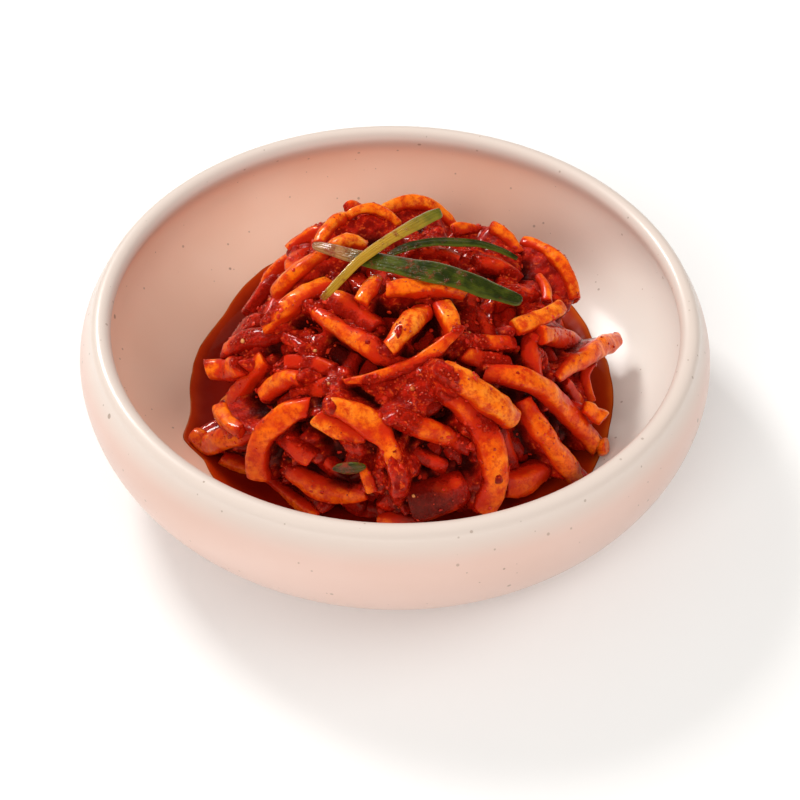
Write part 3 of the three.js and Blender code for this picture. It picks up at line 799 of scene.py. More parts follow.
def bowl_profile():
    """The bowl's outline from the middle of its underside, out and round the lip, to the floor."""
    belly = (BELLY_RADIUS, BELLY_HEIGHT)
    lip = (LIP_RADIUS, LIP_HEIGHT)
    foot_edge = [(FOOT_INNER - FOOT_BEVEL, FOOT_RECESS), (FOOT_INNER - 0.3, 0.25), (FOOT_INNER, 0)]
    return np.concatenate(
        [
            [(0, FOOT_RECESS), (20, FOOT_RECESS)],
            foot_edge,
            ellipse(belly, BELLY_ACROSS, BELLY_BELOW, -90, 0, 36),
            ellipse(belly, BELLY_ACROSS, BELLY_ABOVE, 0, BELLY_TURN, 12)[1:],
            ellipse(lip, LIP_ROLL, LIP_ROLL, LIP_START, 180, 28),
            bezier(THROAT_CURVE, 10)[::-1][1:],
            bezier(FLOOR_CURVE, 44)[::-1][1:],
            [(12, FLOOR_CURVE[0][1]), (0, FLOOR_CURVE[0][1])],
        ]
    )


def make_bowl(user):
    profile = bowl_profile()[1:-1]
    points, faces = capped(lathe(profile, user.facets))
    height = profile[:, 1]
    after_lip = np.arange(len(profile)) > height.argmax()
    lip_top = LIP_HEIGHT + 1
    inside = np.where(after_lip, ramp(lip_top - height, 0, 9), 0)
    # The lip's mask, for its paler colour: partly thinner glaze, partly a painted highlight.
    lip = ramp(height, LIP_HEIGHT - 6, lip_top)
    angle = np.arange(user.facets) * TURN / user.facets
    # Painted light: a mask that is 1 on the bowl's right side, where the window lights the inside.
    pale = ramp(np.cos(angle + 0.2), 0.1, 0.95)
    values = {
        "inside": np.repeat(inside, user.facets),
        "lip": np.repeat(lip, user.facets),
        "pale": np.tile(pale, len(profile)),
    }
    return new_object("bowl_glazed", points, faces, glaze_material(user), values)


# How far out the juice and its film reach: azimuth and radius.
SHORE = np.array(
    [
        (5, 65.0),
        (11, 65.3),
        (18, 64.5),
        (25, 65.0),
        (34, 66.0),
        (60, 66.0),
        (90, 67.0),
        (112, 68.0),
        (125, 67.4),
        (132, 66.4),
        (141, 64.2),
        (154, 62.4),
        (168, 61.8),
        (180, 61.7),
        (190, 61.6),
        (196, 63.2),
        (201, 66.2),
        (206, 64.4),
        (210, 62.2),
        (216, 63.4),
        (240, 64.0),
        (270, 64.5),
        (300, 65.0),
        (328, 66.5),
        (336, 66.0),
        (346, 65.0),
        (355, 65.0),
    ]
)
SHORE_EASE = np.array([1, 3, 5, 6, 5, 3, 1]) / 24
SHORE_RADIUS = 60
BRINK = 2.5  # over which the film thins out to its edge
JUICE_AROUND, JUICE_ROWS = 480, 26


def shore(angle):
    """How far out the juice and its film reach, at even azimuths in radians."""
    reach = np.interp(np.degrees(angle) % 360, *SHORE.T, period=360)
    margin = len(SHORE_EASE) // 2
    looped = np.concatenate([reach[-margin:], reach, reach[:margin]])
    reach = np.convolve(looped, SHORE_EASE, "valid")
    around = np.stack([np.cos(angle), np.sin(angle), 0 * angle], axis=-1) * SHORE_RADIUS
    return reach + 0.5 * noise(around, 14, 3) + 0.3 * noise(around, 5, 4)


def there_and_back(under, top):
    """Rows of the juice's skin, from its inner edge out along the top and back along the foot."""
    return np.concatenate([under[:1], top, under[-1:], under[::-1][1:]])


def make_juice(user):
    angle = np.arange(JUICE_AROUND) * TURN / JUICE_AROUND
    edge = shore(angle)
    inner = user.inner / MM
    outward = np.linspace(0, 1, JUICE_ROWS)[:, None] ** 0.6
    radius = inner + (edge - inner) * outward
    ground = floor_height(radius)
    brink = ramp(edge - radius, 0, BRINK)
    film = user.film / MM * np.sqrt(brink)
    foot = ground + 0.03 - 0.09 * (1 - ramp(edge - radius, 0, 0.7))
    height = np.maximum(np.minimum(user.level / MM, foot + 3.0 * brink), foot + film)
    run = 2.2 + 2.2 * (1 + np.cos(angle))
    thin = np.exp(-(edge - radius) / run) * ramp(2.6 - (height - ground), 0, 2.5)
    top = np.stack([radius * np.cos(angle), radius * np.sin(angle), height], axis=-1)
    under = top.copy()
    under[..., 2] = foot
    rings = there_and_back(under, top)
    faces = [grid_faces(len(rings), JUICE_AROUND)]
    values = {
        "thin": there_and_back(thin, thin).ravel(),
        "brink": there_and_back(brink, brink).ravel(),
    }
    return new_object("seasoning_juice", rings.reshape(-1, 3), faces, juice_material(user), values)


# ---- The heap ----


class Path:
    """A smooth line that can be read at any distance along it, with its directions."""

    def __init__(self, line):
        self.points, self.length = curve(line, 8 * len(line))
        self.at_points = np.linspace(0, self.length, len(self.points))
        self.directions = frames(self.points)

    def read(self, places):
        held = [spaced(part, self.at_points, places) for part in (self.points, *self.directions)]
        return held[0], *(unit(part) for part in held[1:])


# Where paste lies thick over the strips: azimuth, polar angle, radius.
PASTE_PATCHES = (
    (112, 51, 3.4),
    (190, 44, 6.3),
    (193, 57, 5.1),
    (217, 41, 5.7),
    (270, 46, 8.6),
    (284, 43, 5.7),
    (255, 43, 3.4),
    (5, 34, 6.3),
    (31, 48, 3.4),
    (315, 33, 5.1),
    (251, 61, 4.3),
    (45, 32, 3.4),
    (338, 52, 2.3),
    (238, 43, 4.0),
    (20, 41, 4.5),
    (125, 50, 3.5),
    (85, 47, 3.0),
)

# Hollows between the strips, sunk into the packing and painted dark as shade on the strips in them:
# azimuth, polar angle, radius, depth.
HOLLOWS = (
    (227, 37, 6.3, 7),
    (251, 75, 5.7, 7),
    (285, 52, 2.8, 3),
    (356, 26, 2.5, 3),
    (302, 64, 3.0, 3),
    (232, 63, 2.2, 3),
    (276, 76, 8.0, 3),
)

# Where the strips are painted dark as shade, low at the front in the shade of the bowl's wall:
# azimuth, polar angle, radius.
SHADED_SPOTS = ((276, 76, 9.0), (322, 84, 6.0))

# The grid of rays that the packing is made on.
GRID_ROWS, GRID_COLUMNS = 165, 520
GRID_POLAR = np.radians(np.linspace(0.4, 103, GRID_ROWS))
GRID_STEP = GRID_POLAR[1] - GRID_POLAR[0]
SOFT_SPAN, LEVEL_SPAN = 0.9, 3.0  # that the strips' surface is softened and evened over

Terrain = namedtuple("Terrain", "rays soft level")


def near(rays, azimuth, polar, radius, solid=0.4):
    """1 at a spot on the heap, out to a share of its radius, and 0 beyond it, smooth between."""
    away = CORE_REACH * np.arccos(np.clip(rays @ placed_ray(azimuth, polar), -1, 1))
    return ramp(-away, -radius, -solid * radius)


def evened(reach, size):
    """Heights on the grid of rays, smoothed over about this many millimetres."""
    wave = np.arange(GRID_COLUMNS // 2 + 1)
    spread = size / CORE_REACH / np.maximum(np.sin(GRID_POLAR), 0.02)
    soft = np.fft.rfft(reach, axis=1) * np.exp(-0.5 * (wave * spread[:, None]) ** 2)
    rows = np.fft.irfft(soft, GRID_COLUMNS, axis=1)
    step = CORE_REACH * GRID_STEP
    span = int(3 * size / step)
    weights = np.exp(-0.5 * (np.arange(-span, span + 1) * step / size) ** 2)
    padded = np.pad(rows, ((span, span), (0, 0)), mode="edge")
    total = sum(w * padded[i : i + GRID_ROWS] for i, w in enumerate(weights))
    return total / weights.sum()


@functools.cache
def terrain():
    """Rays on the grid, and how far out each leaves the strips, softened, and evened over them."""
    azimuth = np.arange(GRID_COLUMNS) * TURN / GRID_COLUMNS
    upright = np.repeat(np.cos(GRID_POLAR)[:, None], GRID_COLUMNS, axis=1)
    flat = np.sin(GRID_POLAR)
    x, y = np.outer(flat, np.cos(azimuth)), np.outer(flat, np.sin(azimuth))
    rays = np.stack([x, y, upright], axis=-1)
    surface = Surface(rays.reshape(-1, 3))
    for balls, radius in laid().balls:
        surface.add(balls, radius)
    top = surface.reach.reshape(GRID_ROWS, GRID_COLUMNS)
    return Terrain(rays, evened(top, SOFT_SPAN), evened(top, LEVEL_SPAN))


def depth_below(points):
    """How far points lie under the evened surface of the heap."""
    away = points - CENTRE
    reach = np.linalg.norm(away, axis=-1)
    polar = np.arccos(np.clip(away[..., 2] / reach, -1, 1))
    row = np.clip((polar - GRID_POLAR[0]) / GRID_STEP, 0, GRID_ROWS - 1.001)
    column = (np.arctan2(away[..., 1], away[..., 0]) / TURN % 1) * GRID_COLUMNS
    i, j = row.astype(int), column.astype(int) % GRID_COLUMNS
    down, on = row - i, column - np.floor(column)
    level, k = terrain().level, (j + 1) % GRID_COLUMNS
    upper = level[i, j] * (1 - on) + level[i, k] * on
    lower = level[i + 1, j] * (1 - on) + level[i + 1, k] * on
    return upper * (1 - down) + lower * down - reach


def paste_cover(points, cling):
    """How thickly paste covers points, from 0 to 1."""
    rays = unit(points - CENTRE)
    cover = 0.5 * noise(points, 7, 1) + 0.35 * noise(points, 2.6, 2) + (cling - 0.5) * 1.1
    for azimuth, polar, radius in PASTE_PATCHES:
        cover = cover + 0.9 * near(rays, azimuth, polar, radius)
    return ramp(cover, -0.1, 0.6)


# How a strip's ends are rounded: distances from an end, and the share of its size there.
END_RIM = np.array([0, 0, 0, 0.12, 0.4, 0.8])
END_SHARES = np.array([0.3, 0.62, 0.84, 0.93, 0.98, 1.0])
END_LENGTH = 1.2
HALF_WIDTH = 0.47  # of a strip, in the width that it is laid with


def strip_rings(path, strip, draw, spacing, around, points):
    """Rings along a strip cut from a radish, tapering to these shares of its width at its ends."""
    count = max(4, round((path.length - 2 * END_LENGTH) / spacing))
    inner = np.linspace(END_LENGTH, path.length - END_LENGTH, count)
    places = np.concatenate([END_RIM, inner, path.length - END_RIM[::-1]])
    size = np.concatenate([END_SHARES, np.ones(count), END_SHARES[::-1]])
    middle, along, out, across = path.read(places)
    seed = draw.between(1, 50)
    row = on_a_line(places)
    # A sharper point takes a longer run.
    for share, gone in zip(points, (places, path.length - places)):
        run = 3.0 + 11.0 * (1 - share)
        size = size * (1 - (1 - share) * np.exp(-((gone / run) ** 1.5)))
    size = size * (1 + 0.12 * noise(row, 7, seed))
    roll, twist = math.radians(draw.between(-25, 25)), math.radians(draw.between(-40, 40))
    # Its section lies between a circle and a square, flattened, and its ends are cut at a slant.
    square, flat = draw.between(2.3, 3.6), draw.between(0.76, 0.95)
    slants = draw.between(-0.45, 0.45), draw.between(-0.45, 0.45)
    theta = np.arange(around) * TURN / around
    half = HALF_WIDTH * strip.width
    x = np.sign(np.cos(theta)) * np.abs(np.cos(theta)) ** (2 / square) * half
    y = np.sign(np.sin(theta)) * np.abs(np.sin(theta)) ** (2 / square) * half * flat
    turn = (roll + twist * (places / path.length - 0.5))[:, None]
    sway = 1 + 0.1 * noise(row, 5, seed + 3)[:, None]
    side = (x * np.cos(turn) * sway - y * np.sin(turn)) * size[:, None]
    rise = (x * np.sin(turn) + y * np.cos(turn) / sway) * size[:, None]
    cut = slants[0] * np.exp(-places / 2) - slants[1] * np.exp((places - path.length) / 2)
    slant = np.outer(cut, x)
    spots = side[..., None] * across[:, None] + rise[..., None] * out[:, None]
    spots = spots + (slant * size[:, None])[..., None] * along[:, None]
    ends = np.minimum(places, path.length - places)
    return middle[:, None] + spots, unit(spots), ends[:, None], seed


def add_strip(gathered, path, strip, draw, spacing, around, points=None):
    """Adds a strip and what its material reads: its paste, its lower flanks and the painted shade
    in hollows and shaded spots.
    """
    shares = points or (draw.between(0.68, 0.95), draw.between(0.68, 0.95))
    rings, outward, ends, seed = strip_rings(path, strip, draw, spacing, around, shares)
    below = depth_below(rings)
    # Paste clings more to what lies deep and to the ends.
    cling = strip.paste + 0.06 + 0.2 * np.clip(below, -2, 5) + 0.35 * np.exp(-ends / 2.5)
    paste = paste_cover(rings, cling)
    # The skin is uneven, and more so under paste.
    swell = 0.36 * noise(rings, 3.4, seed) + 0.18 * noise(rings, 1.7, seed + 1)
    swell = swell + paste * (0.15 + 0.4 * noise(rings, 1.1, 7))
    points, faces = capped(rings + outward * swell[..., None])
    # What lies deep or faces into the heap counts as below, and the material paints shade on it.
    rise = (outward * unit(rings.mean(axis=1) - CENTRE)[:, None]).sum(axis=-1)
    sunk = ramp(below - 2.0 * rise, -3.7, 0.8)
    # Painted shade: hollows are dark from some depth down, and so are the shaded spots low at the
    # front.
    rays = unit(rings - CENTRE)
    shade = np.zeros(below.shape)
    for azimuth, polar, radius, deep in HOLLOWS:
        under = ramp(below + 0.35 * deep, 0.5, 3.0)
        shade = np.maximum(shade, near(rays, azimuth, polar, radius) * under)
    for azimuth, polar, radius in SHADED_SPOTS:
        shade = np.maximum(shade, 0.75 * near(rays, azimuth, polar, radius, 0.5))
    values = {"paste": paste.ravel(), "below": sunk.ravel(), "shade": shade.ravel()}
    gathered.add(points, faces, tone=strip.tone, **values)


STRIP_FACETS = 26  # round a strip that shows
UNDER_FACETS, UNDER_FACET_LENGTH = 20, 1.4  # round and along one that is pressed in
UNDER_SPAN = 1.05  # how far down those lie: 0 is the top of the core and 1 its equator
UNDER_SEED, LOW_SEED, HIGH_SEED = 29, 5, 6


def make_strips(name, names, user, material, seed):
    """One joined mesh of the strips of these names."""
    strips, lines = laid().strips, laid().lines
    gathered, draw, spacing = Gathered(), Draw(seed), user.detail / MM
    for key in names:
        path, points = Path(lines[key]), POINTED.get(key)
        add_strip(gathered, path, strips[key], draw, spacing, STRIP_FACETS, points)
    return gathered.object(name, material)


def make_under_strips(user, material):
    """Strips pressed into the core, under those that are laid on it."""
    gathered, draw = Gathered(), Draw(UNDER_SEED)
    for i in range(user.under_strips):
        z = 1 - UNDER_SPAN * (i + draw.between(0, 1)) / user.under_strips
        polar = math.degrees(math.acos(z))
        azimuth = math.degrees(i * GOLDEN) % 360
        length, width = draw.between(18, 34), draw.between(5, 7)
        heading, bend = draw.between(0, 360), draw.between(-60, 60)
        tone, paste = draw.between(0, 0.8), 0.55
        strip = Strip(azimuth, polar, heading, length, bend, width, 0, 0, tone, paste)
        rays = walk(strip)
        depth = width * 0.42 + draw.between(-0.3, 1.2)
        line = inside_bowl(rays * (core_reach(rays) - depth)[:, None] + CENTRE, width / 2)
        add_strip(gathered, Path(line), strip, draw, UNDER_FACET_LENGTH, UNDER_FACETS)
    return gathered.object("strips_under", material)


# How far the packing lies under the strips where it is bare, and how far thick paste fills that:
# below their softened surface and below their evened one.
SOFT_DROP, SOFT_FILL = 3.6, 3.2
LEVEL_DROP, LEVEL_FILL = 5.2, 4.8


def make_packing(user, material):
    """Paste and packed strips between those that show: thick where paste lies, deep in the gaps."""
    rays, soft, level = terrain()
    cover = paste_cover(rays * level[..., None] + CENTRE, user.cover)
    height = np.maximum(
        soft - SOFT_DROP + SOFT_FILL * cover, level - LEVEL_DROP + LEVEL_FILL * cover
    )
    for azimuth, polar, radius, deep in HOLLOWS:
        height = height - deep * near(rays, azimuth, polar, radius, 0.3)
    points = rays * height[..., None] + CENTRE
    rough = (0.4 + 0.35 * cover) * noise(points, 2.1, 5) + 0.3 * noise(points, 1.2, 6)
    height = height + rough
    points = rays * height[..., None] + CENTRE
    out = np.hypot(points[..., 0], points[..., 1])
    points[..., 2] = np.maximum(points[..., 2], floor_height(out) + 0.15)
    # How deep the packing lies under the strips, which the paste material paints as shade.
    depth = ramp(level - height, 0.6, 4.0)
    top = np.arange(GRID_COLUMNS)
    foot = top + (GRID_ROWS - 1) * GRID_COLUMNS
    faces = [grid_faces(GRID_ROWS, GRID_COLUMNS)[:, ::-1], top[None], foot[None, ::-1]]
    values = {"depth": depth.ravel()}
    return new_object("packed_paste", points.reshape(-1, 3), faces, material, values)


# ---- Loose bits ----

Bits = namedtuple("Bits", "shape sizes lift seed")
SCATTER_SPAN = 1.12  # how far down the bits lie: 0 is the top of the core and 1 its equator
RAY_START = 90.0  # how far out the rays start that look for the heap
FLAKE_CORNERS, FLAKE_THICKNESS = 7, 0.1
LUMP_RINGS, LUMP_AROUND, LUMP_FLATNESS = 3, 6, 0.7
BIT_TILT = 0.35  # how far a bit may lean from what it lies on
ASKEW = (0.3, 0.5, 0.81)  # a direction to start a bit's turn from


def outer_tree(pieces):
    """The pieces' faces, gathered so that rays can find what shows."""
    points, faces, start = [], [], 0
    for piece in pieces:
        mesh = piece.data
        points += [v.co.to_tuple() for v in mesh.vertices]
        faces += [[start + i for i in face.vertices] for face in mesh.polygons]
        start += len(mesh.vertices)
    return BVHTree.FromPolygons(points, faces)


def landings(tree, count, draw):
    """Spots where rays from all round meet the heap: place and normal, in millimetres."""
    spots = []
    for i in range(count):
        z = 1 - SCATTER_SPAN * (i + draw.between(0, 1)) / count
        angle = i * GOLDEN + draw.between(-0.05, 0.05)
        flat = math.sqrt(max(0, 1 - z * z))
        ray = np.array([flat * math.cos(angle), flat * math.sin(angle), z])
        start = Vector((CENTRE + ray * RAY_START) * MM)
        place, normal, _, _ = tree.ray_cast(start, Vector(-ray))
        if place is not None:
            spots.append((np.array(place) / MM, np.array(normal)))
    return spots


def facing(normal, draw):
    """Three square directions, the last along the normal, turned at random about it."""
    side = np.cross(normal, ASKEW)
    side = unit(turned(unit(side), normal, draw.between(0, TURN)))
    return np.array([side, np.cross(normal, side), normal])


def flake(size, draw):
    """A thin crisp flake with an uneven edge, lying flat."""
    corners, thick = FLAKE_CORNERS, FLAKE_THICKNESS
    angle = np.arange(corners) * TURN / corners
    reach = np.array([size / 2 * draw.between(0.55, 1.1) for _ in range(corners)])
    stretch = draw.between(0.5, 0.95)
    edge = np.stack([reach * np.cos(angle), stretch * reach * np.sin(angle)], axis=1)
    curl = draw.between(-0.25, 0.25)
    rise = curl * edge[:, 0] ** 2 / size
    under = np.column_stack([edge, rise - thick])
    over = np.column_stack([edge * 0.94, rise + thick])
    points = np.concatenate([under, over, [[0, 0, thick * 1.6]]])
    i = np.arange(corners)
    j = (i + 1) % corners
    sides = np.stack([i, j, j + corners, i + corners], axis=1)
    cap = np.stack([i + corners, j + corners, np.full(corners, 2 * corners)], axis=1)
    return points, [sides, cap, i[None, ::-1]]


def lump(size, draw):
    """A small lump with an uneven skin."""
    rings, around, flat = LUMP_RINGS, LUMP_AROUND, LUMP_FLATNESS
    skin = []
    for row in range(rings):
        polar = (row + 1) / (rings + 1) * math.pi
        for angle in np.arange(around) * TURN / around + row * 0.5:
            reach = size / 2 * draw.between(0.7, 1.15)
            x = reach * math.sin(polar) * math.cos(angle)
            y = reach * math.sin(polar) * math.sin(angle)
            skin.append([x, y, reach * math.cos(polar) * flat])
    points = np.array([*skin, [0, 0, size / 2 * flat], [0, 0, -size / 2 * flat]])
    i = np.arange(around)
    j = (i + 1) % around
    top = np.stack([i, j, np.full(around, rings * around)], axis=1)[:, ::-1]
    last = (rings - 1) * around
    foot = np.stack([i + last, j + last, np.full(around, rings * around + 1)], axis=1)
    return points, [grid_faces(rings, around), top, foot]


FLAKES = Bits(flake, (0.7, 2.3), 0.04, 41)
GRAINS = Bits(lump, (0.35, 1.0), 0.15, 42)
GARLIC = Bits(lump, (0.7, 1.9), 0.15, 43)


def scatter(name, tree, count, bits, material, keep):
    """One joined mesh of small bits set on the heap where keep allows."""
    gathered, draw, (least, most) = Gathered(), Draw(bits.seed), bits.sizes
    for place, normal in landings(tree, count, draw):
        if draw.between(0, 1) > keep(place):
            continue
        size = least * (most / least) ** draw.between(0, 1)
        points, faces = bits.shape(size, draw)
        lean = np.array([draw.between(-1, 1) for _ in range(3)])
        basis = facing(unit(normal + BIT_TILT * lean), draw)
        rise = normal * size * bits.lift
        gathered.add(points @ basis + place + rise, faces, tone=draw.between(0, 1))
    return gathered.object(name, material)


def pasted(place):
    """How likely a bit is to lie at a place: more so where paste is thick."""
    return float(paste_cover(place[None], 0.4)[0])


def clumped(place):
    """The same for bits that lie in clumps."""
    clumps = 0.04 + 0.96 * float(ramp(noise(place[None], 4.5, 8)[0], 0.0, 0.4))
    return clumps * (0.25 + 0.75 * pasted(place))


# ---- Scallion ----

LEAF_AROUND, LEAF_ROWS = 28, 110
STALK_SINK = 0.9  # how far a stiff stalk may press into the heap
STALK_START = 0.45  # the share of it over which it comes up from the heap


def even_steps(at, values):
    """Values given at even steps, read at fractions of the way along them."""
    return np.interp(at, np.linspace(0, 1, len(values)), values)


def leaf_rings(line, leaf, look):
    """Rings along a flattened leaf, arched across, folded along its middle and rolled."""
    path = Path(line)
    places = np.linspace(0, path.length, LEAF_ROWS)
    middle, _, out, across = path.read(places)
    at = places / path.length
    theta = np.arange(LEAF_AROUND) * TURN / LEAF_AROUND
    x, y = np.cos(theta), np.sin(theta)
    ends = np.minimum(places, path.length - places)
    wide = np.maximum(leaf_width(leaf, at) / 2, 0.15)[:, None]
    wide = wide * (1 - 0.5 * np.exp(-ends / 0.8))[:, None]
    wide = wide * (1 + 0.08 * noise(on_a_line(places), 6, 9))[:, None]
    thick = leaf.thickness / 2 * (0.5 + 0.5 * (1 - x**2))
    valley = look.fold * (np.exp(-((x / 0.3) ** 2)) - 0.5)
    rise = LEAF_GAP + leaf.thickness / 2 + leaf.arch * (1 - x**2) - valley
    rise = rise + wide * x * even_steps(at, look.roll)[:, None]
    flat = np.stack(np.broadcast_arrays(places[:, None], 3 * x, 0.0), axis=-1)
    lift = rise + y * thick + 0.25 * noise(flat, 5, 3)
    rings = middle[:, None] + (x * wide)[..., None] * across[:, None]
    rings = rings + lift[..., None] * out[:, None]
    return rings, np.broadcast_to(at[:, None], rings.shape[:2]), np.broadcast_to(x, rings.shape[:2])


def stiffened(line):
    """A line evened to one gentle bend and lifted clear, with its start left as it lay."""
    at = np.linspace(0, 1, len(line))
    fitted = np.stack([np.polyval(np.polyfit(at, part, 2), at) for part in line.T], axis=1)
    sunk = np.linalg.norm(line - CENTRE, axis=1) - np.linalg.norm(fitted - CENTRE, axis=1)
    lifted = fitted + unit(fitted - CENTRE) * max(0, sunk.max() - STALK_SINK)
    stiff = ramp(at, 0, STALK_START)[:, None]
    return line * (1 - stiff) + lifted * stiff


def make_leaf(key, material):
    """One piece of scallion. Only the stalk is too stiff to follow what it lies on."""
    line, look = laid().leaves[key], LEAF_LOOKS[key]
    if key == "scallion_stalk":
        line = stiffened(line)
    rings, at, side = leaf_rings(line, SCALLION[key], look)
    points, faces = capped(rings)
    values = {
        "side": side.ravel(),
        "fade": even_steps(at, look.fade).ravel(),
        "paste": even_steps(at, look.paste).ravel(),
    }
    return new_object(key + "_wet", points, faces, material, values)


# ---- Stage ----

FLOOR_HALF, FLOOR_POINTS = 1500.0, 9
FLOOR_DROP = 0.02  # keeps the floor clear of the foot ring
SENSOR = 36.0  # the camera's, in millimetres
WARM = (1.0, 0.985, 0.955)
LIT = (0, 0, 0.02)  # the point that the lights face, in metres


def make_floor(user):
    steps = np.linspace(-FLOOR_HALF, FLOOR_HALF, FLOOR_POINTS)
    x, y = np.meshgrid(steps, steps, indexing="ij")
    points = np.stack([x, y, 0 * x - FLOOR_DROP], axis=-1).reshape(-1, 3)
    faces = [grid_faces(FLOOR_POINTS, FLOOR_POINTS, closed=False)]
    return new_object("floor", points, faces, floor_material(user))


def add_light(name, place, size, power, shines):
    """A rectangle of light, given in metres, that faces the bowl."""
    data = bpy.data.lights.new(name, "AREA")
    data.shape, data.size, data.size_y = "RECTANGLE", *size
    data.energy, data.color = power, WARM
    light = bpy.data.objects.new(name, data)
    light.location = place
    light.rotation_euler = (Vector(LIT) - Vector(place)).to_track_quat("-Z", "Y").to_euler()
    light.visible_glossy = shines
    bpy.context.scene.collection.objects.link(light)


def add_camera(user):
    data = bpy.data.cameras.new("camera")
    data.lens, data.sensor_width = user.lens, SENSOR
    camera = bpy.data.objects.new("camera", data)
    back = Vector((0, -math.cos(user.elevation), math.sin(user.elevation)))
    place = Vector(user.aim) + back * user.reach
    forward = (Vector(user.target) - place).normalized()
    turn = forward.to_track_quat("-Z", "Y").to_matrix().to_4x4()
    camera.matrix_world = Matrix.Translation(place) @ turn @ Matrix.Rotation(user.roll, 4, "Z")
    bpy.context.scene.collection.objects.link(camera)
    bpy.context.scene.camera = camera


def set_world(user):
    world = bpy.data.worlds.new("soft_room")
    bpy.context.scene.world = world
    world.use_nodes = True
    world.cycles_visibility.glossy = False
    back = world.node_tree.nodes["Background"]
    back.inputs["Color"].default_value = (*user.room, 1)
    back.inputs["Strength"].default_value = user.room_strength
    bpy.context.scene.view_settings.view_transform = "Standard"


# ---- Settings ----


def number(name, description, default):
    return bpy.props.IntProperty(name=name, description=description, default=default, min=0)


def measure(name, description, default, unit="NONE"):
    return bpy.props.FloatProperty(name=name, description=description, default=default, unit=unit)


def length(name, description, default):
    return measure(name, description, default, "LENGTH")


def angle(name, description, degrees):
    return measure(name, description, math.radians(degrees), "ROTATION")


def share(name, description, default):
    return bpy.props.FloatProperty(
        name=name, description=description, default=default, min=0.0, max=1.0, subtype="FACTOR"
    )


def point(name, description, default):
    return bpy.props.FloatVectorProperty(
        name=name, description=description, default=default, unit="LENGTH"
    )


def colour(name, description, default):
    return bpy.props.FloatVectorProperty(
        name=name, description=description, default=default, min=0.0, max=1.0, subtype="COLOR"
    )


class KimchiBowlSettings(bpy.types.PropertyGroup):
    """The bowl's glaze."""

    facets: number("Facets", "Facets round the bowl", 192)
    glaze: colour("Glaze", "Colour of the glaze outside", (0.71, 0.50, 0.43))
    glaze_deep: colour("Deep Glaze", "Colour where it lies thicker", (0.68, 0.45, 0.37))
    # Painted bounced light: the inside colours are brighter and redder than the outside glaze.
    inside: colour("Inside", "Colour of the glaze inside", (0.93, 0.645, 0.50))
    inside_deep: colour("Deep Inside", "Colour inside where it lies thicker", (0.90, 0.59, 0.44))
    # Painted light: the pale right side within, where the window lights it.
    inside_window_lit: colour("Pale Inside", "Colour inside where it is palest", (0.81, 0.76, 0.70))
    # Partly the thinner glaze over the lip, partly a painted highlight.
    lip: colour("Lip", "Colour of the glaze over the lip", (0.71, 0.60, 0.535))
    speck: colour("Specks", "Colour of the specks in the glaze", (0.30, 0.20, 0.14))


class KimchiJuiceSettings(bpy.types.PropertyGroup):
    """The juice round the foot of the heap."""

    level: length("Level", "Height of the juice", 0.0117)
    inner: length("Inner Radius", "Where the juice begins, under the heap", 0.034)
    film: length("Film", "Thickness of the film on the wall", 0.00035)
    deep: colour("Deep", "Colour where the juice is deep", (0.20, 0.006, 0.001))
    shallow: colour("Shallow", "Colour where it is shallow", (0.46, 0.03, 0.002))
    edge: colour("Edge", "Colour of the thin film at its edge", (0.66, 0.12, 0.01))
    fringe: colour("Fringe", "Colour where the film ends", (0.78, 0.36, 0.16))


class KimchiHeapSettings(bpy.types.PropertyGroup):
    """The radish strips and the paste between them."""

    detail: length("Detail", "Length of a facet along a strip", 0.0009)
    under_strips: number("Under Strips", "Strips pressed into the core", 150)
    cover: share("Paste Cover", "How much of the heap paste covers", 0.62)
    bright: colour("Bright Radish", "Colour of the brightest strips", (0.96, 0.20, 0.004))
    # Painted highlight on the strips' crests.
    pale: colour("Pale Radish", "Colour of the strips' palest crests", (1.0, 0.36, 0.035))
    dull: colour("Dull Radish", "Colour of the glassy strips", (0.74, 0.058, 0.002))
    deep: colour("Deep Radish", "Colour of the strips' shaded flanks", (0.36, 0.012, 0.001))
    blush: colour("Blush", "Colour where pepper has soaked in", (0.58, 0.018, 0.002))
    paste: colour("Paste", "Colour of the pepper paste", (0.54, 0.013, 0.003))
    paste_dark: colour("Dark Paste", "Colour of the paste where it is thick", (0.25, 0.004, 0.001))
    paste_bright: colour("Bright Paste", "Colour of bits in the paste", (0.72, 0.075, 0.010))
    # Painted shade: the near black of hollows and deep gaps.
    hollow_shade: colour("Hollows", "Colour deep between the strips", (0.035, 0.0015, 0.001))
    flake: colour("Flakes", "Colour of the pepper flakes", (0.56, 0.012, 0.003))


class KimchiBitsSettings(bpy.types.PropertyGroup):
    """Loose bits on the heap."""

    flakes: number("Flakes", "Pepper flakes tried", 7000)
    grains: number("Grains", "Grains of paste tried", 9000)
    garlic: number("Garlic", "Bits of minced garlic tried", 150)
    flake: colour("Flakes", "Colour of the pepper flakes", (0.56, 0.011, 0.003))
    flake_bright: colour("Bright Flakes", "Colour of the brighter flakes", (0.78, 0.035, 0.006))
    grain: colour("Grains", "Colour of the grains", (0.46, 0.018, 0.005))
    grain_bright: colour("Bright Grains", "Colour of the brighter grains", (0.62, 0.045, 0.008))
    garlic_pale: colour("Garlic", "Colour of the garlic", (0.75, 0.32, 0.10))
    garlic_deep: colour("Stained Garlic", "Colour of stained garlic", (0.62, 0.12, 0.02))


class KimchiScallionSettings(bpy.types.PropertyGroup):
    """The scallion on top."""

    leaf: colour("Leaf", "Colour of the leaves' edges", (0.10, 0.115, 0.006))
    leaf_dark: colour("Dark Leaf", "Colour of the leaves' darkest parts", (0.022, 0.032, 0.003))
    leaf_pale: colour("Pale Leaf", "Colour of the leaves' faded ends", (0.42, 0.17, 0.05))
    stalk: colour("Stalk", "Colour of the stalk", (0.54, 0.29, 0.018))
    stalk_green: colour("Green Stalk", "Colour of the stalk where it is green", (0.20, 0.18, 0.010))
    stalk_deep: colour("Deep Stalk", "Colour of the stalk's furrows", (0.11, 0.11, 0.006))
    smear: colour("Smear", "Colour of the paste on them", (0.34, 0.035, 0.010))


